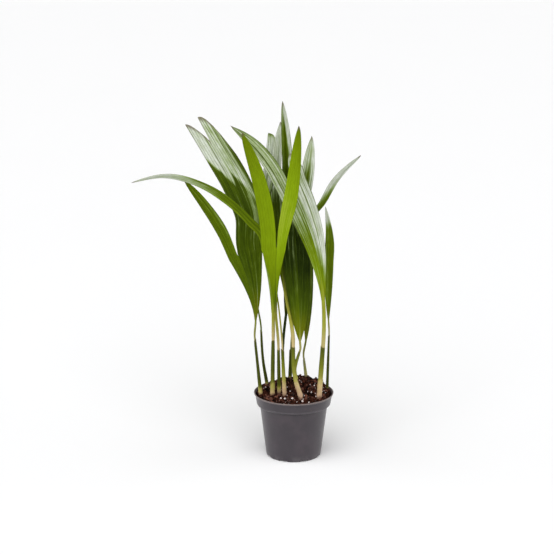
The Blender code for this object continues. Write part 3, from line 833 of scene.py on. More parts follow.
def sheath_finish():
    """A leaf sheath: fibrous olive green, bleached to straw at the foot, with a brown edge at the mouth."""
    finish = Finish("sheath", specular_ior_level=0.08)
    place = finish.place()
    rise = finish.field("rise")
    fibres = finish.noise(finish.scaled(place, (1.0, 1.0, 0.03)), 1500.0, 3.0, 0.6)
    bands = finish.noise(finish.scaled(place, (1.0, 1.0, 0.3)), 160.0, 3.0, 0.6)
    deep = finish.step(finish.field("shade") + (fibres - 0.5) * 1.3 + (bands - 0.5) * 0.6, 1.0, 0.0)
    bleached = finish.step(finish.field("shade"), 0.9, 1.2, 0.0, 0.6)
    mouth = finish.step(finish.field("mouth") + (fibres - 0.5) * 0.5, 0.5, 1.0)
    soiled = finish.step(finish.field("height") + (bands - 0.5) * 8.0, 4.0, 0.5, 0.0, 0.7)
    color = finish.coats(
        rising_color(finish, fibres, bands),
        ((0.028, 0.036, 0.003), deep * finish.step(rise, 0.8, 1.8, 0.0, 0.85)),
        ((0.24, 0.24, 0.10), bleached),
        ((0.10, 0.085, 0.020), mouth * 0.7),
        ((0.07, 0.035, 0.022), soiled),
    )
    finish.bump(fibres, 0.00025)
    return finish.set(base_color=color, roughness=0.42 + fibres * 0.25)


def scale_finish():
    """The dry scale round a stem's foot: its colours are the stem's own, drier, with a thin brown edge."""
    finish = Finish("foot_scale", specular_ior_level=0.15)
    place = finish.place()
    fibres = finish.noise(finish.scaled(place, (1.0, 1.0, 0.04)), 1300.0, 4.0, 0.65)
    blots = finish.noise(place, 260.0, 3.0, 0.6)
    dry = 1.0 - greener(finish) * 0.7
    edge = finish.step(finish.field("mouth"), 0.75, 1.0, 0.0, 0.6)
    soiled = finish.step(finish.field("height") + (blots - 0.5) * 8.0, 4.0, 0.5, 0.0, 0.7)
    color = finish.coats(
        rising_color(finish, fibres, blots),
        ((0.60, 0.46, 0.28), finish.step(fibres, 0.45, 0.65, 0.0, 0.6) * dry),
        ((0.56, 0.34, 0.25), finish.step(blots, 0.48, 0.62, 0.0, 0.5) * dry),
        ((0.24, 0.17, 0.06), edge),
        ((0.10, 0.045, 0.028), soiled),
    )
    finish.bump(fibres, 0.0003)
    return finish.set(base_color=color, roughness=0.55 + fibres * 0.25)


# %% Lines of the stems
FOOT_STRAIGHT = 3.0             # length of the upright foot
SHEATH_POINTS = 7               # points of a sheath in the construction model


def stem_knots(name, path):
    """Knots of a sheath's curve: straight up from its foot, then through the points of its path."""
    foot = np.array([*STEMS[name].foot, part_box(name)[0].z / MM])
    return np.array([foot + FOOT_STRAIGHT * UP, *path])


def lean(knots):
    """The direction in which a sheath sets out from its upright foot."""
    return unit(knots[1] - knots[0])


def mouth_of(name, path):
    """Place and direction of a mouth, from the last stretch of the sheath at the model's own step."""
    knots = stem_knots(name, path)
    points, _ = spline(knots, np.linspace(0.0, 1.0, SHEATH_POINTS), start=lean(knots))
    return points[-1], unit(points[-1] - points[-2])


# %% Rings of a sheath
LIP = 0.32                      # thickness of the sheath at its mouth
MOUTH_DEPTH = 6.0               # how far down inside the mouth is made
SUNK = 4.5                      # how deep the visible foot reaches into the soil
UNEVEN = 0.03                   # how much the radius swells and shrinks up a sheath, as a share
GROOVES = 0.03                  # depth of the grooves as a share of the radius


def tube_rings(centres, ways, radii, columns=28, flat=1.0, grooves=0.0, count=9, seed=0):
    """Rings round a path: centre + radius (cos a * across + flat * sin a * back), with shallow grooves.

    The radius is multiplied by 1 + grooves * cos(count * a + phase), where the phase drifts up the path.
    """
    across = level_across(ways, 0.0)
    back = np.cross(ways, across)
    angle = 2 * math.pi * np.arange(columns) / columns
    phase = seed + 0.6 * np.linspace(0.0, 1.0, len(centres))[:, None]
    ribs = 1.0 + grooves * np.cos(count * angle + phase)
    flattened = np.sin(angle) * flat * np.ones((len(centres), 1))
    out = np.cos(angle)[:, None] * across[:, None] + flattened[..., None] * back[:, None]
    return centres[:, None] + (radii[:, None] * ribs)[..., None] * out


def sheath_rings(knots, radii, start=0.0, slant=3.0, side=0.0, rows=44, seed=0):
    """Rings up the outside of a sheath, over its slanted lip and down inside, and how near the mouth.

    Near the mouth a point rises by slant * ((0.5 + 0.5 cos(a - side)) ^ 1.5 - 0.35), which makes one side
    the longer one. The lip and the inside repeat the last ring, shrunk to their own radius.
    """
    share = np.linspace(start, 1.0, rows)
    points, ways = spline(knots, share, start=lean(knots))
    if start == 0.0:
        points = np.concatenate([[points[0] - (FOOT_STRAIGHT + SUNK) * UP], points])
        ways = np.concatenate([[UP], ways])
        share = np.concatenate([[0.0], share])
    radius = np.interp(share, [0.0, 1.0], radii) * (1.0 + UNEVEN * np.sin(share * 9.0 + seed))
    outer = tube_rings(points, ways, radius, grooves=GROOVES, seed=seed)
    columns = outer.shape[1]
    angle = 2 * math.pi * np.arange(columns) / columns
    rise = slant * ((0.5 + 0.5 * np.cos(angle - side)) ** 1.5 - 0.35)
    near_mouth = smooth_step(share, 0.9, 1.0)
    outer = outer + (near_mouth[:, None] * rise)[..., None] * ways[:, None]
    last = outer[-1] - points[-1]
    lip = points[-1] + last * (1.0 - LIP / 2 / radius[-1]) + ways[-1] * LIP / 2
    down = np.linspace(0.0, MOUTH_DEPTH, 5)
    inner = points[-1] + last * (1.0 - LIP / radius[-1]) - down[:, None, None] * ways[-1]
    rings = np.concatenate([outer, lip[None], inner])
    mouth = np.concatenate([near_mouth, np.ones(1 + len(down))])[:, None] * np.ones(columns)
    return rings, mouth


# %% Sheaths
def add_sheath(name, node, rings, mouth, finish):
    """A sheath or scale; its fields are the height over the soil, in mm and in bleached heights."""
    points, faces = closed_tube(rings)
    stem = STEMS[node]
    height = points[:, 2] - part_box(node)[0].z / MM
    fields = {"height": height, "rise": height / stem.pale, "mouth": on_tube(mouth),
              "shade": np.full(len(points), stem.shade)}
    stand_for(make_piece(name, points, faces, [finish], fields), node)


SIDE_STEP = 2.4                 # turn of the mouth's longer side from stem to stem, in radians
SECOND_SIDE = 2.0
SHEATH = sheath_finish()
SCALE = scale_finish()
mouths = {}
for order, (name, stem) in enumerate(STEMS.items()):
    knots = stem_knots(name, stem.path)
    rings, mouth = sheath_rings(knots, stem.radii, side=SIDE_STEP * order, seed=order)
    add_sheath(f"sheath_{name[-2:]}", name, rings, mouth, SHEATH)
    mouths[name] = (*mouth_of(name, stem.path), stem.radii[1] - LIP)
second = stem_knots(PARTED_STEM, SECOND_PATH)
rings, mouth = sheath_rings(second, SECOND_RADII, start=SECOND_START, side=SECOND_SIDE, seed=3)
add_sheath("sheath_08_second", PARTED_STEM, rings, mouth, SHEATH)
mouths[SECOND_MOUTH] = (*mouth_of(PARTED_STEM, SECOND_PATH), SECOND_RADII[1] - LIP)

# %% [markdown]
# The dry scale is the first leaf of the seedling, which never had a blade. It clasps the foot of the
# stem and ends in a slanted, ragged mouth. It is a short sheath along the same curve, only just wider.
# Stems without a bleached foot have lost theirs.

# %% Foot scales
SCALE_ROOM = (0.22, 0.16)       # how much wider than the stem a scale is at its foot and at its mouth
RAGGED = 0.7                    # how uneven its mouth is


def add_scale(name, stem, seed):
    """A scale along the lowest stretch of the stem's curve, as long as the stem is bleached."""
    knots = stem_knots(name, stem.path)
    share = stem.pale / distance_along(knots)[-1]
    ends, _ = spline(knots, np.linspace(0.0, share, 4), start=lean(knots))
    radii = np.interp([0.0, share], [0.0, 1.0], stem.radii) + SCALE_ROOM
    rings, edge = sheath_rings(ends, radii, slant=5.0, side=2.1 + 1.7 * seed, rows=22, seed=seed)
    ragged = RAGGED * waves(rings, (1.5, 4.0), 60 + seed)
    rings = rings + (edge * ragged)[..., None] * UP
    add_sheath(f"foot_scale_{name[-2:]}", name, rings, edge, SCALE)


for order, (name, stem) in enumerate(STEMS.items()):
    if stem.scale:
        add_scale(name, stem, order)

# %% [markdown]
# ## The fronds
#
# A frond is a slim stalk that becomes the rib of a pleated blade. The blade widens up to the fork, where
# it is slit into two lobes that go their own ways to a point. Flat leaf shapes bent by a lattice would
# lose the pleats, so the blade is a function of two numbers: how far along, and how far across. The
# pleats are a wave across each lobe that narrows with it, which is how the real ribs all run together at
# the tip.

# %% Shape of a frond
TIP_POWERS = (3.0, 0.6)         # the powers p and q of the usual narrowing to a tip


class Lobe(NamedTuple):
    """Half of a blade beyond the fork: its width there and at its widest, and the points to its tip.

    Fold is the angle in degrees by which both its halves fold up, and roll how far the lobe has turned
    round its middle line at the tip. Taper is the two powers of its narrowing. Notch is how deep the notch
    in a broad end goes, in mm, and shoulder how far short of that end its right edge stops.
    """
    fork_width: float
    full_width: float
    path: list
    fold: float = 0.0
    roll: float = 0.0
    taper: tuple = TIP_POWERS
    notch: float = 0.0
    shoulder: float = 0.0


class Frond(NamedTuple):
    """The sheath it rises from, and the points of its rib from where the blade starts to its fork.

    Turn is the direction to the blade's right, in degrees seen from above, and flare the two powers of
    its widening.
    """
    stem: str
    rib: list
    turn: float
    flare: tuple
    lobes: list


# %% Lines of the fronds
FRONDS = {
    "frond_01": Frond("stem_01", [(-57, -4, 211), (-82, 0, 308)], 5, (1.0, 1.2), [
        Lobe(15, 18, [(-106, -2, 347), (-131, -4, 387), (-160, -6, 424)]),
        Lobe(38, 44, [(-67.5, 9, 370), (-85.5, 24, 412), (-109.5, 45, 450), (-144, 76, 502)], notch=43,
             shoulder=80),
    ]),
    "frond_02": Frond("stem_02", [(-55, 16, 231), (-66, 34, 309)], 15, (1.0, 1.0), [
        Lobe(16, 20, [(-81, 58, 376), (-99, 84, 419)]),
        Lobe(14, 15, [(-61, 58, 358), (-58, 72, 386)]),
    ]),
    "frond_03": Frond("stem_03", [(-31, -8, 224), (-45, -16, 338)], 0, (1.0, 2.2), [
        Lobe(12, 12.5, [(-65, -20, 365), (-91, -23, 391), (-127, -26, 416), (-182, -30, 433),
                      (-234, -34, 424)], roll=-40),
    ]),
    "frond_04": Frond("stem_04", [(-27, -20, 228), (-26, -37, 326)], 0, (1.0, 1.9), [
        Lobe(22, 24, [(-47, -63, 420), (-73, -96, 506)]),
        Lobe(13, 22, [(-4.5, -61, 419), (5, -86, 514)]),
    ]),
    "frond_05": Frond("stem_05", [(-24, 2, 240), (-33, 6, 300)], 60, (1.0, 1.0), [
        Lobe(12, 14, [(-36, 7, 350), (-36, 8, 392)]),
    ]),
    "frond_06": Frond("stem_06", [(-11.5, 41, 208), (2, 62, 300)], 20, (1.6, 1.0), [
        Lobe(14, 18, [(-16, 84, 345), (-36, 110, 378)]),
        Lobe(18, 24, [(5, 88, 350), (8, 116, 384)]),
    ]),
    "frond_07": Frond("stem_07", [(-1, 51, 190), (16, 90, 290)], -40, (2.0, 1.0), [
        Lobe(20, 26, [(10, 116, 328), (6, 142, 352)]),
        Lobe(20, 26, [(28, 116, 326), (35, 140, 348)]),
    ]),
    "frond_08": Frond(SECOND_MOUTH, [(-14, 12, 258), (-33, 48, 370)], 20, (1.0, 1.2), [
        Lobe(15, 20, [(-35, 60, 437), (-33, 80, 472), (-36, 108, 474)]),
        Lobe(15, 19, [(-26, 64, 444), (-20, 80, 496)]),
    ]),
    "frond_09": Frond("stem_08", [(9, -8, 180), (1, 27, 370)], 20, (3.5, 1.0), [
        Lobe(23, 24, [(-12, 40, 453), (-17, 54, 530)], fold=38),
        Lobe(21, 26, [(19, 38, 431), (26, 50, 479)], fold=20, taper=(3.0, 0.75)),
    ]),
    "frond_10": Frond("stem_09", [(19, 46, 165), (17, 52, 344)], 25, (2.5, 1.0), [
        Lobe(16, 19, [(7, 66, 395), (4, 80, 430)]),
        Lobe(10, 14, [(42, 50, 378), (61, 49, 412), (99, 40, 452)]),
    ]),
    "frond_11": Frond("stem_10", [(43, -13, 245), (31, -3, 320), (-4, 8, 409)], 15, (1.8, 1.4), [
        Lobe(22, 24, [(-34, 13, 442), (-57, 22, 469), (-93, 30, 497)], taper=(3.0, 0.8)),
        Lobe(26, 24, [(2, 12, 435), (-6, 18, 458)]),
    ]),
    "frond_12": Frond("stem_11", [(52, 14, 208), (52, 12, 290)], -35, (2.0, 1.0), [
        Lobe(15, 17, [(52, 12, 340), (46, 13, 380)], taper=(2.0, 0.8)),
    ]),
}
print(len(FRONDS), "fronds,", sum(len(frond.lobes) for frond in FRONDS.values()), "lobes")


# %% Looks of the fronds
class Tint(NamedTuple):
    """How a lobe and its half of the blade are coloured, seen from the front.

    The shades are the brightness at even steps from the base to the tip, and lean is how much brighter the
    right edge is than the left one; both are partly the leaf's own tone and partly painted light and shade.
    Silver is a painted reflection of the sky: how far along it starts at the left and right edge, soft how
    gradually, and strength how strong it gets at each edge. A patch is a place of its own: how far along
    and how far right it lies, its length and width there, and what it adds to the painted reflection and to
    the shade.
    """
    shades: tuple
    lean: float = 0.0
    silver: tuple = (2.0, 2.0)
    soft: float = 0.1
    strength: tuple = (1.0, 1.0)
    patches: tuple = ()


class Look(NamedTuple):
    """How a frond looks: whether its front shows the under side, its stalk, and a tint for each lobe.

    Stalk_pale is how much straw shows through the green of the stalk, and stalk_half is half its width.
    """
    under: bool
    stalk_pale: float
    stalk_half: float
    tints: list


# The shades and leans are set to how light each part of a lobe looks from the front, so they hold painted
# shade as well as the leaves' own tone: frond_06 is nearly black and the middle of frond_09 dark because
# they stand in shade.
LOOKS = {
    "frond_01": Look(False, 0.30, 1.5, [
        Tint((0.42, 0.36, 0.46, 0.45, 0.45), 0.05),
        Tint((0.38, 0.28, 0.24, 0.30, 0.34), 0.05, (0.80, 0.55), 0.03, (0.78, 0.50), (
            (0.84, 0.26, 0.08, 0.20, 0.4, 0.1), (0.45, 0.85, 0.12, 0.25, 0.25, 0.1),
            (0.8, 1.0, 0.4, 0.10, -0.5, -0.05),
        )),
    ]),
    "frond_02": Look(False, 0.05, 1.3, [
        Tint((0.40, 0.33, 0.22, 0.25, 0.3), 0.05, (0.8, 0.8), 0.2, (0.6, 0.6)),
        Tint((0.40, 0.33, 0.24, 0.25, 0.3), 0.05, (0.8, 0.8), 0.2, (0.6, 0.6)),
    ]),
    "frond_03": Look(False, 0.85, 2.6, [
        Tint((0.70, 0.60, 0.54, 0.60, 0.66), -0.10, (0.68, 0.74), 0.26, (0.85, 0.9)),
    ]),
    "frond_04": Look(True, 0.75, 2.1, [
        Tint((0.10, 0.24, 0.38, 0.46, 0.48, 0.46, 0.43, 0.34, 0.26), 0.06),
        Tint((0.15, 0.28, 0.44, 0.60, 0.69, 0.61, 0.52, 0.40, 0.24), -0.10),
    ]),
    "frond_05": Look(False, 0.9, 1.3, [Tint((0.3, 0.15, 0.2, 0.2))]),
    "frond_06": Look(False, 0.0, 2.2, [
        Tint((0.04, 0.06, 0.15, 0.2, 0.3), 0.0, (0.75, 0.75), 0.2, (0.6, 0.6)),
        Tint((0.04, 0.06, 0.15, 0.2, 0.3), 0.0, (0.60, 0.60), 0.2, (0.4, 0.4)),
    ]),
    "frond_07": Look(False, 0.1, 1.3, [
        Tint((0.3, 0.3, 0.35, 0.4), 0.0, (0.6, 0.6), 0.25, (0.6, 0.6)),
        Tint((0.3, 0.3, 0.35, 0.4), 0.0, (0.6, 0.6), 0.25, (0.6, 0.6)),
    ]),
    "frond_08": Look(False, 1.0, 2.9, [
        Tint((0.5, 0.4, 0.30, 0.40, 0.55), 0.0, (0.60, 0.55), 0.12, (0.80, 0.80), (
            (0.96, 0.5, 0.07, 0.8, -0.9, 0.0),
        )),
        Tint((0.5, 0.4, 0.25, 0.45, 0.5), 0.0, (0.60, 0.55), 0.12, (0.95, 0.95)),
    ]),
    "frond_09": Look(False, 0.45, 1.7, [
        Tint((0.56, 0.26, 0.02, 0.02, 0.26, 0.46, 0.46), 0.22, (1.25, 0.66), 0.08, (0.7, 0.95), (
            (0.22, 0.10, 0.25, 0.25, -0.4, 0.0),
            (0.38, 0.72, 0.07, 0.08, 0.30, 0.0),
            (0.95, 0.50, 0.05, 0.80, 0.30, 0.05),
        )),
        Tint((0.50, 0.28, 0.04, 0.03, 0.35, 0.50, 0.40), 0.0, (0.74, 0.68), 0.10, (0.72, 0.75), (
            (0.80, 0.5, 0.05, 0.3, -0.5, 0.0),
        )),
    ]),
    "frond_10": Look(False, 0.3, 1.6, [
        Tint((0.4, 0.3, 0.3, 0.35)),
        Tint((0.4, 0.30, 0.42, 0.50, 0.5), -0.1, (0.73, 0.82), 0.08, (1.1, 1.1)),
    ]),
    "frond_11": Look(False, 0.75, 3.0, [
        Tint((0.72, 0.60, 0.46, 0.34, 0.32), 0.0, (0.36, 0.38), 0.16, (0.56, 0.44)),
        Tint((0.72, 0.60, 0.48, 0.40, 0.38), 0.0, (0.32, 0.16), 0.16, (0.60, 0.88)),
    ]),
    "frond_12": Look(False, 0.4, 1.4, [
        Tint((0.46, 0.52, 0.54, 0.48, 0.50), -0.12, (0.86, 0.86), 0.07, (1.1, 1.0)),
    ]),
}
print("patches on", sum(any(tint.patches for tint in look.tints) for look in LOOKS.values()), "fronds")

# %% [markdown]
# ## Leaf finishes
#
# The two faces of a leaf differ. The upper one is deep green under a hard cuticle, and the silvery streaks
# where it mirrors the sky, from hair-thin to two pleats wide, are a painted reflection. The lower one is
# duller, and the light that comes through it makes it yellow-green. Both finishes read numbers stored on
# the blade: the pleat count for veins and streaks, the distance along it, the nearness to an edge, the
# shade, which holds painted shade as well as tone, and the silver, which is the painted reflection.

# %% What both faces share
TIP_BROWN = (0.13, 0.105, 0.07)
UPPER_GREENS = [                # from shade 0 to shade 1
    (0.0, (0.010, 0.019, 0.001)), (0.25, (0.040, 0.066, 0.001)), (0.5, (0.085, 0.130, 0.0015)),
    (0.75, (0.175, 0.260, 0.003)), (1.0, (0.33, 0.42, 0.04)),
]
UNDER_GREENS = [
    (0.0, (0.045, 0.080, 0.001)), (0.35, (0.140, 0.205, 0.002)), (0.6, (0.205, 0.310, 0.004)),
    (1.0, (0.42, 0.50, 0.06)),
]


def along_veins(finish, across, along, *noise):
    """A noise laid out on the vein count and the distance along; a small factor draws it out that way."""
    vector = (finish.field("vein") * across, finish.field("reach") * along, finish.field("offset"))
    return finish.noise(finish.vector(*vector), *noise)


def leaf_parts(finish):
    """Noises along the veins, how high on its pleat a point lies, and how near the tip and the margin."""
    streaks = along_veins(finish, 1.5, 0.3, 1.5, 2.0, 0.5)
    fibres = along_veins(finish, 7.0, 0.5, 2.0, 3.0, 0.65)
    clouds = along_veins(finish, 0.3, 2.0, 1.8, 3.0, 0.55)
    ridge = finish.number("ShaderNodeMath", {"operation": "PINGPONG"}, {0: finish.field("vein"), 1: 0.5})
    dry = finish.step(finish.field("along") + (clouds - 0.5) * 0.04, 0.965, 0.998)
    margin = finish.step(finish.field("edge"), 0.90, 1.0)
    return streaks, fibres, clouds, ridge * 2.0, dry, margin


# %% Leaf finishes
def upper_finish():
    """The upper face: deep to bright green, turned pale and at last white by a painted reflection of the
    sky along its streaks.
    """
    finish = Finish("leaf_upper", specular_ior_level=0.03)
    streaks, fibres, clouds, ridge, dry, margin = leaf_parts(finish)
    bands = along_veins(finish, 0.55, 0.25, 1.5, 2.0, 0.5)
    lines = (bands - 0.5) * 0.9 + (streaks - 0.5) * 1.0 + (fibres - 0.5) * 0.3
    shade = finish.field("shade") + lines * 0.45 + (clouds - 0.5) * 0.2
    base = finish.step(finish.field("along"), 0.17, 0.02, 0.0, 0.5)
    # Painted reflection of the sky: the silver field and its streaks turn the green pale, and white where
    # strongest.
    amount = finish.field("silver") + lines * 1.3 + (clouds - 0.5) * 0.35
    painted_reflection = finish.step(amount, 0.40, 0.90)
    # Darker along the pleat valleys: partly the veins there, partly painted shade that deepens among the
    # painted reflection.
    valley = finish.step(ridge, 0.30, 0.05)
    # Dark gaps between the streaks of the painted reflection.
    sheen_gaps = finish.step(streaks, 0.44, 0.33) * finish.step(finish.field("silver"), 0.1, 0.6)
    color = finish.coats(
        finish.number("ShaderNodeValToRGB", {"stops": UPPER_GREENS}, {0: shade}),
        ((0.165, 0.160, 0.003), base),
        ((0.26, 0.34, 0.13), finish.step(amount, 0.15, 0.55, 0.0, 0.9)),
        (finish.mix((0.41, 0.45, 0.33), (0.58, 0.62, 0.55), clouds * 2.0 - 0.5), painted_reflection),
        ((0.040, 0.060, 0.008), valley * (painted_reflection * 0.35 + 0.25)),
        ((0.10, 0.13, 0.045), sheen_gaps * 0.75),
        ((0.045, 0.055, 0.010), margin * 0.6),
        (TIP_BROWN, dry * 0.85),
    )
    finish.bump(ridge * 0.5 + fibres, 0.0003, 0.8)
    return finish.set(base_color=color, roughness=0.36 + fibres * 0.18 + dry * 0.2)


def under_finish():
    """The lower face: yellow-green and dull, with faint ribs."""
    finish = Finish("leaf_under", specular_ior_level=0.02)
    streaks, fibres, clouds, ridge, dry, margin = leaf_parts(finish)
    shade = finish.field("shade") + (streaks - 0.5) * 0.16 + (fibres - 0.5) * 0.08 + (clouds - 0.5) * 0.2
    rib = finish.step(ridge, 0.12, 0.0)
    color = finish.coats(
        finish.number("ShaderNodeValToRGB", {"stops": UNDER_GREENS}, {0: shade}),
        ((0.30, 0.40, 0.03), rib * 0.12),
        ((0.075, 0.11, 0.004), margin * 0.45),
        (TIP_BROWN, dry * 0.85),
    )
    finish.bump(rib * 0.6 + fibres, 0.00025, 0.7)
    return finish.set(base_color=color, roughness=0.5 + fibres * 0.15)


def stalk_finish():
    """Stalk and rib: pinkish where they leave the sheath, then straw, and green along the blade."""
    finish = Finish("leaf_stalk", specular_ior_level=0.06)
    place = finish.place()
    fibres = finish.noise(finish.scaled(place, (1.0, 1.0, 0.04)), 1600.0, 3.0, 0.6)
    shade = finish.field("shade") + (fibres - 0.5) * 0.3
    straw = finish.mix((0.17, 0.165, 0.012), (0.38, 0.37, 0.060), fibres * 1.4 - 0.2)
    color = finish.coats(
        finish.number("ShaderNodeValToRGB", {"stops": UPPER_GREENS}, {0: shade}),
        (straw, finish.field("pale")),
        ((0.52, 0.38, 0.23), finish.field("blush") * 0.65),
    )
    finish.bump(fibres, 0.0002)
    return finish.set(base_color=color, roughness=0.4 + fibres * 0.2)


UPPER = upper_finish()
UNDER = under_finish()
STALK = stalk_finish()

# %% [markdown]
# ## From a sheet of points to a leaf
#
# A blade is first worked out as a sheet without thickness. The sheet is then doubled: each point moves
# half the thickness along its normal to one side and to the other, and the edges are closed by a rim.
# Solidify could do it, but here the leaf can thin out towards its tips, and each face gets its own
# finish.

# %% Sheet to solid
def sheet_normals(points, quads):
    """A unit normal at each point: the sum of those of its faces, each the cross of its two diagonals."""
    corner = points[quads]
    across_face = np.cross(corner[:, 2] - corner[:, 0], corner[:, 3] - corner[:, 1])
    normals = np.zeros_like(points)
    for place in range(4):
        np.add.at(normals, quads[:, place], across_face)
    return unit(normals)


def rim_edges(quads):
    """The edges that only one face uses, in the direction in which that face runs along them."""
    edges = np.concatenate([quads[:, [0, 1]], quads[:, [1, 2]], quads[:, [2, 3]], quads[:, [3, 0]]])
    _, first, count = np.unique(np.sort(edges, axis=1), axis=0, return_index=True, return_counts=True)
    return edges[first[count == 1]]


def thickened(points, quads, thickness):
    """Points and faces of the closed leaf: the front sheet, the back sheet turned over, and the rim.

    A point p with the normal n becomes p + n * thickness / 2 in front and p - n * thickness / 2 behind.
    """
    offset = sheet_normals(points, quads) * (thickness / 2)[:, None]
    count = len(points)
    edge = rim_edges(quads)
    rim = np.stack([edge[:, 1], edge[:, 0], edge[:, 0] + count, edge[:, 1] + count], axis=-1)
    return np.concatenate([points + offset, points - offset]), [quads, quads[:, ::-1] + count, rim]


# %% [markdown]
# ## The blade's two numbers
#
# Along the rib and along each lobe a smooth curve gives the middle of the blade. Across it, a point's
# share runs from -1 to 1. Its place is the middle plus share times the half width, raised by the crown
# of that half, the pleats and, near the edge, a slow ripple.

# %% Rib and widening
GAP = 0.3                       # room between the mouth of a sheath and the model's stalk
STALK_STRAIGHT = 3.0            # length over which a stalk leaves its sheath without a bend


def widening(share, flare):
    """How far the blade has widened, from 0 at its start to 1 at the fork: (1 - (1 - share)^p)^q."""
    power, curve = flare
    return (1.0 - (1.0 - share) ** power) ** curve


def rib_line(frond, count, part):
    """Points and directions of the stalk (part 0) or of the blade's rib up to the fork (part 1)."""
    mouth, way, _ = mouths[frond.stem]
    start = mouth + GAP * way
    knots = np.array([start + STALK_STRAIGHT * way, *frond.rib])
    chords = np.linalg.norm(np.diff(knots, axis=0), axis=1)
    base = chords[0] / chords.sum()
    limits = (base, 1.0) if part else (0.0, base)
    return spline(knots, np.linspace(*limits, count), start=way)


# %% Pleats
CROWN = 0.05                    # rise of each half of the blade as a share of its half width
PLEAT_HEIGHT = 0.085            # height of a pleat as a share of its width


def pleated(centres, ways, across, half, share, pleats, fold=0.0, drawn=0.0, ripple=0.0):
    """Places of a strip of blade: rows along the centres, one column for each share across.

    A place is centre + across * (half * share * cos(fold) + drawn) + upward * (half * (height +
    |share| sin(fold)) + ripple), where the height is CROWN * (1 - share^2) and the wave of the pleats.
    """
    half = half[:, None]
    wave = np.sin(math.pi * pleats * (share + 1.0) - math.pi / 2)
    height = CROWN * (1.0 - share**2) + PLEAT_HEIGHT / pleats * wave * 2.0
    spread = half * share * np.cos(fold) + drawn
    rise = half * (height + np.abs(share) * np.sin(fold)) + ripple
    upward = np.cross(across, ways)
    return centres[:, None] + across[:, None] * spread[..., None] + upward[:, None] * rise[..., None]


# %% Notched ends
NOTCH_SHARE = -0.1              # where the notch in a notched end lies across the lobe
NOTCH_POWER = 1.65
SHOULDER_POWER = 2.5


def end_cuts(lobe, share):
    """How far each column of a notched lobe ends before its end, in mm.

    Up to the notch it is notch * ((share + 1) / (NOTCH_SHARE + 1)) ** NOTCH_POWER, which leaves a point
    at the left edge. From there it falls to 0 at the middle, which is the second point, and beyond it is
    shoulder * share ** SHOULDER_POWER.
    """
    left = lobe.notch * ((share + 1.0) / (NOTCH_SHARE + 1.0)) ** NOTCH_POWER
    right = lobe.notch * np.clip(share / NOTCH_SHARE, 0.0, 1.0)
    right = right + lobe.shoulder * np.clip(share, 0.0, 1.0) ** SHOULDER_POWER
    return np.where(share <= NOTCH_SHARE, left, right)


def cut_end(surface, cuts):
    """Draws each column of points back by its own share of the lobe's length.

    Row i of a column is read at row i * (1 - cut), by its share between the two rows round that place.
    """
    rows, columns = surface.shape[:2]
    place = np.arange(float(rows))[:, None] * (1.0 - cuts)
    low = np.clip(place.astype(int), 0, rows - 2)
    part = (place - low)[..., None]
    column = np.arange(columns)[None, :]
    return surface[low, column] * (1.0 - part) + surface[low + 1, column] * part


# %% Lobes
SWELL_SHARE = 0.35              # how far along a lobe reaches its full width
TIP_HALF = 0.12                 # half the width of a tip
ROLL_POWER = 1.5
SLIT = 1.1                      # how far the inner edge of a lobe draws back from the slit
SLIT_REACH = 0.04               # share of a lobe over which the slit opens
FOLD_SHARE = 0.25               # share of a lobe over which a folded one folds up
RIPPLE = 0.9                    # how far the edges wave up and down
RIPPLE_LENGTH = 11.0            # one wave takes 2 pi times this length


def lobe_surface(lobe, side, fork, way, across, rows, share, pleats, phase):
    """Places of a lobe from the fork to its tip, and the distance of each row from the fork.

    At a share v along the lobe its half width is swell * (1 - v^p)^q, with the two powers of its taper.
    Its edges wave by RIPPLE * sin(distance / RIPPLE_LENGTH + phase), which fades out towards the tip.
    """
    values = np.linspace(0.0, 1.0, rows)
    start = fork + side * across * lobe.fork_width / 2
    points, ways = spline([start, *lobe.path], values, start=way)
    sideways = carried_across(ways, across)
    angle = math.radians(lobe.roll) * values[:, None] ** ROLL_POWER
    sideways = np.cos(angle) * sideways + np.sin(angle) * np.cross(ways, sideways)
    half = np.interp(values, [0.0, SWELL_SHARE], [lobe.fork_width, lobe.full_width]) / 2
    if not lobe.notch:
        half = np.maximum(half * (1.0 - values ** lobe.taper[0]) ** lobe.taper[1], TIP_HALF)
    inner = (1.0 - side * share) / 2
    drawn = side * inner * (np.minimum(SLIT, half * 0.5) * smooth_step(values, 0.0, SLIT_REACH))[:, None]
    fold = math.radians(lobe.fold) * smooth_step(values, 0.0, FOLD_SHARE)[:, None]
    length = distance_along(points)
    swing = RIPPLE * np.sin(length / RIPPLE_LENGTH + phase) * smooth_step(values, 0.0, 0.2) * (1.0 - values)
    ripple = swing[:, None] * (np.abs(share) ** 3 * np.sign(share + 0.2))[None, :]
    surface = pleated(points, ways, sideways, half, share, pleats, fold, drawn, ripple)
    surface = cut_end(surface, end_cuts(lobe, share) / length[-1]) if lobe.notch else surface
    return surface, length


# %% Half blades
PLEAT_WIDTH = 3.8               # usual width of a pleat where the lobe is widest
POINTS_A_PLEAT = 6
ROW_STEP = 3.2


def blade_rows(frond):
    """Rows below and beyond the fork, about one for each row step of length."""
    below = distance_along(np.array(frond.rib, float))[-1]
    beyond = max(distance_along(np.array([frond.rib[-1], *lobe.path], float))[-1] for lobe in frond.lobes)
    return math.ceil(below / ROW_STEP) + 2, math.ceil(beyond / ROW_STEP) + 2


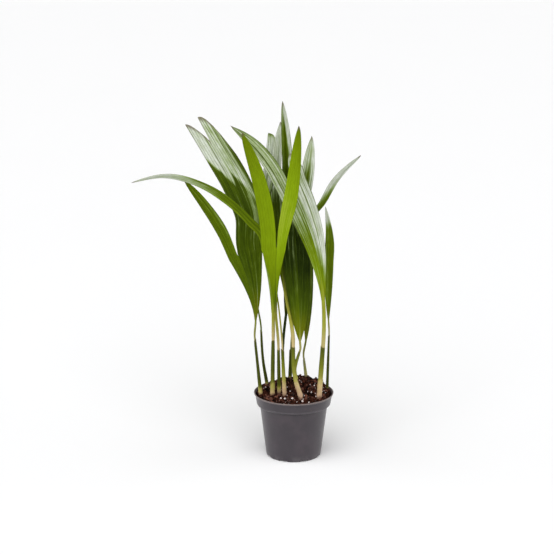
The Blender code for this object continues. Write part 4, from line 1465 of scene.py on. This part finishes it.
def half_blade(frond, look, which, phase):
    """Places of one lobe with its half of the blade below the fork, as rows of points across it.

    With them come the shares across, each row's distance from the start of the blade, how near each point
    is to an edge, and the number of pleats. Below the fork the rib is no edge.
    """
    lobe = frond.lobes[which]
    side = 0 if len(frond.lobes) == 1 else 2 * which - 1
    pleats = max(3, round(lobe.full_width / PLEAT_WIDTH))
    share = np.linspace(-1.0, 1.0, pleats * POINTS_A_PLEAT + 1)
    below, beyond = blade_rows(frond)
    points, ways = rib_line(frond, below, 1)
    across = level_across(ways, frond.turn)
    stalk = look.stalk_half if side == 0 else look.stalk_half / 2
    half = stalk + (lobe.fork_width / 2 - stalk) * widening(np.linspace(0.0, 1.0, below), frond.flare)
    lower = pleated(points + side * across * half[:, None], ways, across, half, share, pleats)
    upper, far = lobe_surface(lobe, side, points[-1], ways[-1], across[-1], beyond, share, pleats, phase)
    near = distance_along(points)
    reach = np.concatenate([near, near[-1] + far[1:]])
    surface = np.concatenate([lower, upper[1:]])
    edge = np.abs(share)[None, :] * np.ones((len(reach), 1))
    if side:
        inner_edge = (side * share < 0)[None, :] & (np.arange(len(reach)) < below)[:, None]
        edge = np.where(inner_edge, 0.0, edge)
    return surface, share, reach, edge, pleats


# %% [markdown]
# Both halves of a blade share the points of the rib up to the fork. The grids are numbered one after the
# other, and the right half's first column is given the numbers of the left half's last one as far as the
# fork. That closes the blade along the rib and leaves it slit beyond.

# %% Fields of a blade
REACH_UNIT = 50.0               # mm of distance to one unit of the field reach
LOBES_APART = 20.0              # veins between the patterns of the two lobes


def blade_fields(tint, which, share, reach, edge, pleats, offset):
    """The numbers that the leaf finishes read, for one half of a blade.

    The silver, a painted reflection, is strength * smooth_step(along, start - soft, start + soft). A patch
    adds its two changes times exp(-((along - far) / length)^2 - ((rightness - right) / width)^2).
    """
    along = reach[:, None] / reach[-1] * np.ones(len(share))
    rightness = (share[None, :] + 1.0) / 2.0
    start = tint.silver[0] + (tint.silver[1] - tint.silver[0]) * rightness
    strength = tint.strength[0] + (tint.strength[1] - tint.strength[0]) * rightness
    shade = np.interp(along, np.linspace(0.0, 1.0, len(tint.shades)), tint.shades)
    shade += tint.lean * (rightness - 0.5)
    silver = strength * smooth_step(along, start - tint.soft, start + tint.soft)
    for far, right, length, width, painted_sheen_change, shade_change in tint.patches:
        weight = np.exp(-((along - far) / length) ** 2 - ((rightness - right) / width) ** 2)
        silver += painted_sheen_change * weight
        shade += shade_change * weight
    return {
        "along": along,
        "reach": reach[:, None] / REACH_UNIT * np.ones(len(share)),
        "vein": pleats * rightness + np.zeros((len(reach), 1)) + LOBES_APART * which,
        "edge": edge,
        "shade": shade,
        "silver": silver,
        "offset": np.full(along.shape, offset),
    }


# %% Blades
LEAF_SHEET = 0.5                # thickness of a blade
THIN_SHARE = 0.35               # share of that thickness left at a tip
THIN_WIDTH = 6.0                # width under which a lobe thins out
LEAVES_APART = 3.7              # distance between the patterns of two fronds
PHASES = (1.3, 2.1)             # shift of the ripple from frond to frond, and from lobe to lobe


def blade(frond, look, order):
    """Points, faces and fields of a whole blade; the faces are its front, its back and its rim."""
    below, _ = blade_rows(frond)
    grids, numbers, fields, faces, thick = [], [], [], [], []
    count = 0
    for which in range(len(frond.lobes)):
        phase = PHASES[0] * order + PHASES[1] * which
        surface, share, reach, edge, pleats = half_blade(frond, look, which, phase)
        rows, columns = surface.shape[:2]
        number = count + np.arange(rows * columns).reshape(rows, columns)
        if which == 1:
            number[:below, 0] = numbers[0][:below, -1]
        faces.append(number.ravel()[grid_quads(rows, columns)])
        width = np.linalg.norm(surface[:, -1] - surface[:, 0], axis=-1)
        fullness = THIN_SHARE + (1.0 - THIN_SHARE) * smooth_step(width, 0.0, THIN_WIDTH)
        thick.append(np.repeat(LEAF_SHEET * fullness, columns))
        grids.append(surface.reshape(-1, 3))
        numbers.append(number)
        offset = LEAVES_APART * order
        values = blade_fields(look.tints[which], which, share, reach, edge, pleats, offset)
        fields.append({key: value.ravel() for key, value in values.items()})
        count += rows * columns
    used, quads = np.unique(np.concatenate(faces), return_inverse=True)
    points = np.concatenate(grids)[used]
    thickness = np.concatenate(thick)[used]
    merged = {key: np.concatenate([half[key] for half in fields])[used] for key in fields[0]}
    solid, all_faces = thickened(points, quads.reshape(-1, 4), thickness)
    return solid, all_faces, {key: np.tile(value, 2) for key, value in merged.items()}


# %% Stalks
STALK_COLUMNS = 16
STALK_ROWS = (16, 36)           # rows below the blade and along it
STALK_RIBS = 5
STALK_DEPTH = 4.5               # how deep a stalk starts inside the sheath
STALK_ROOM = 0.05               # room between it and the inside of the mouth
STALK_GROWTH = 14.0             # length over which it reaches its full width above the mouth
STALK_BLUSH = 45.0              # length of its pinkish lower end
STALK_FLAT = 0.8                # depth of a stalk as a share of its width
STALK_END = 0.92                # its width at the blade as a share of its full width
RIB_SHARE = 0.3                 # how far up the blade the rib has thinned out
RIB_HALF = 0.6                  # half the width of the rib there
RIB_END = 0.25                  # half the width of the rib at the fork


def stalk(frond, look):
    """The stalk from inside its sheath to the blade, then the rib, which thins out towards the fork.

    Its half width runs straight between the marks. The straw fades from 70 % of the stalk's length to
    where the rib has thinned out, and the blush over STALK_BLUSH. Its green is the blade's: the rib is
    taken as half of the blade's length.
    """
    mouth, way, room = mouths[frond.stem]
    low, low_ways = rib_line(frond, STALK_ROWS[0], 0)
    high, high_ways = rib_line(frond, STALK_ROWS[1], 1)
    inside = mouth - np.array([STALK_DEPTH, 0.0])[:, None] * way
    centres = np.concatenate([inside, low, high[1:]])
    ways = np.concatenate([[way, way], low_ways, high_ways[1:]])
    along = distance_along(centres)
    base = along[len(inside) + len(low) - 1]
    blade_length = along[-1] - base
    thinned = base + RIB_SHARE * blade_length
    marks = [STALK_DEPTH, STALK_DEPTH + STALK_GROWTH, base, thinned, along[-1]]
    narrow = min(look.stalk_half, room - STALK_ROOM)
    halves = [narrow, look.stalk_half, look.stalk_half * STALK_END, RIB_HALF, RIB_END]
    flat = np.interp(along, marks[2:], [STALK_FLAT, 1.0, 1.0])[:, None]
    radii = np.interp(along, marks, halves)
    rings = tube_rings(centres, ways, radii, STALK_COLUMNS, flat, GROOVES, STALK_RIBS)
    shades = look.tints[0].shades
    stops = base + np.linspace(0.0, 2.0, len(shades)) * blade_length
    fields = {
        "pale": look.stalk_pale * (1.0 - smooth_step(along, base * 0.7, thinned)),
        "blush": look.stalk_pale * (1.0 - smooth_step(along, STALK_DEPTH, STALK_BLUSH)),
        "shade": np.interp(along, stops, shades),
    }
    points, faces = closed_tube(rings)
    columns = np.ones(STALK_COLUMNS)
    return points, faces, {key: on_tube(row[:, None] * columns) for key, row in fields.items()}


# %% Fronds
for order, (name, frond) in enumerate(FRONDS.items()):
    look = LOOKS[name]
    points, faces, fields = blade(frond, look, order)
    which = np.repeat([0, 1, 1], [len(group) for group in faces])
    finishes = [UNDER, UPPER] if look.under else [UPPER, UNDER]
    leaf = make_piece(f"blade_{name[-2:]}", points, faces, finishes, fields, which)
    stand_for(leaf, name)
    points, faces, fields = stalk(frond, look)
    stand_for(make_piece(f"stalk_{name[-2:]}", points, faces, [STALK], fields), name)

# %% [markdown]
# ## Floor and light
#
# The plant was lit for a catalogue: a white sweep, light from everywhere and a large soft box in front
# and overhead. The floor is a plain pale plane that is wide enough to fill the picture. The sky is white
# and weaker than the box, with brighter panels at both sides that light the flanks of the pot. The box
# gives the pot its soft shadow.

# %% Floor
FLOOR_SIZE = 60.0               # metres
floor_points = np.array([(-1, -1, 0), (1, -1, 0), (1, 1, 0), (-1, 1, 0)]) * FLOOR_SIZE / 2 / MM
floor_finish = Finish("floor", specular_ior_level=0.1)
shine = floor_finish.noise(floor_finish.place(), 3.0)
floor_material = floor_finish.set(base_color=(0.93, 0.93, 0.935), roughness=0.55 + shine * 0.1)
floor = make_piece("floor", floor_points, [np.array([[0, 1, 2, 3]])], [floor_material])

# %% Sky and panels
SKY_POWER = 0.25
PANEL_POWER = 2.30              # strength of the sky at both sides
PANEL_REACH = (0.45, 0.90)      # square of x of the directions between which the panels brighten

world = bpy.data.worlds.new("studio")
world.use_nodes = True
sky = Nodes(world.node_tree)
sideways = sky.part(sky.number("ShaderNodeTexCoord", {}, {}, "Generated"), 0) ** 2.0
background = world.node_tree.nodes["Background"]
sky.feed(background.inputs["Color"], (1.0, 1.0, 1.0))
sky.feed(background.inputs["Strength"], sky.step(sideways, *PANEL_REACH, SKY_POWER, PANEL_POWER))
bpy.context.scene.world = world
print("sky:", SKY_POWER, "panels:", PANEL_POWER)

# %% Soft box
BOX_POWER = 2.80
BOX_WIDTH = 75.0                # degrees that the soft box fills, seen from the plant
BOX_TILT = 40.0                 # degrees by which it hangs forward of overhead
BOX_SIDE = -8.0                 # degrees by which it hangs to the left

box = bpy.data.lights.new("soft_box", "SUN")
box.angle = math.radians(BOX_WIDTH)
box.energy = BOX_POWER
lamp = bpy.data.objects.new("soft_box", box)
lamp.rotation_euler = (math.radians(BOX_TILT), math.radians(BOX_SIDE), 0.0)
bpy.context.scene.collection.objects.link(lamp)
bpy.context.scene.view_settings.view_transform = "Standard"
print("soft box:", BOX_POWER)
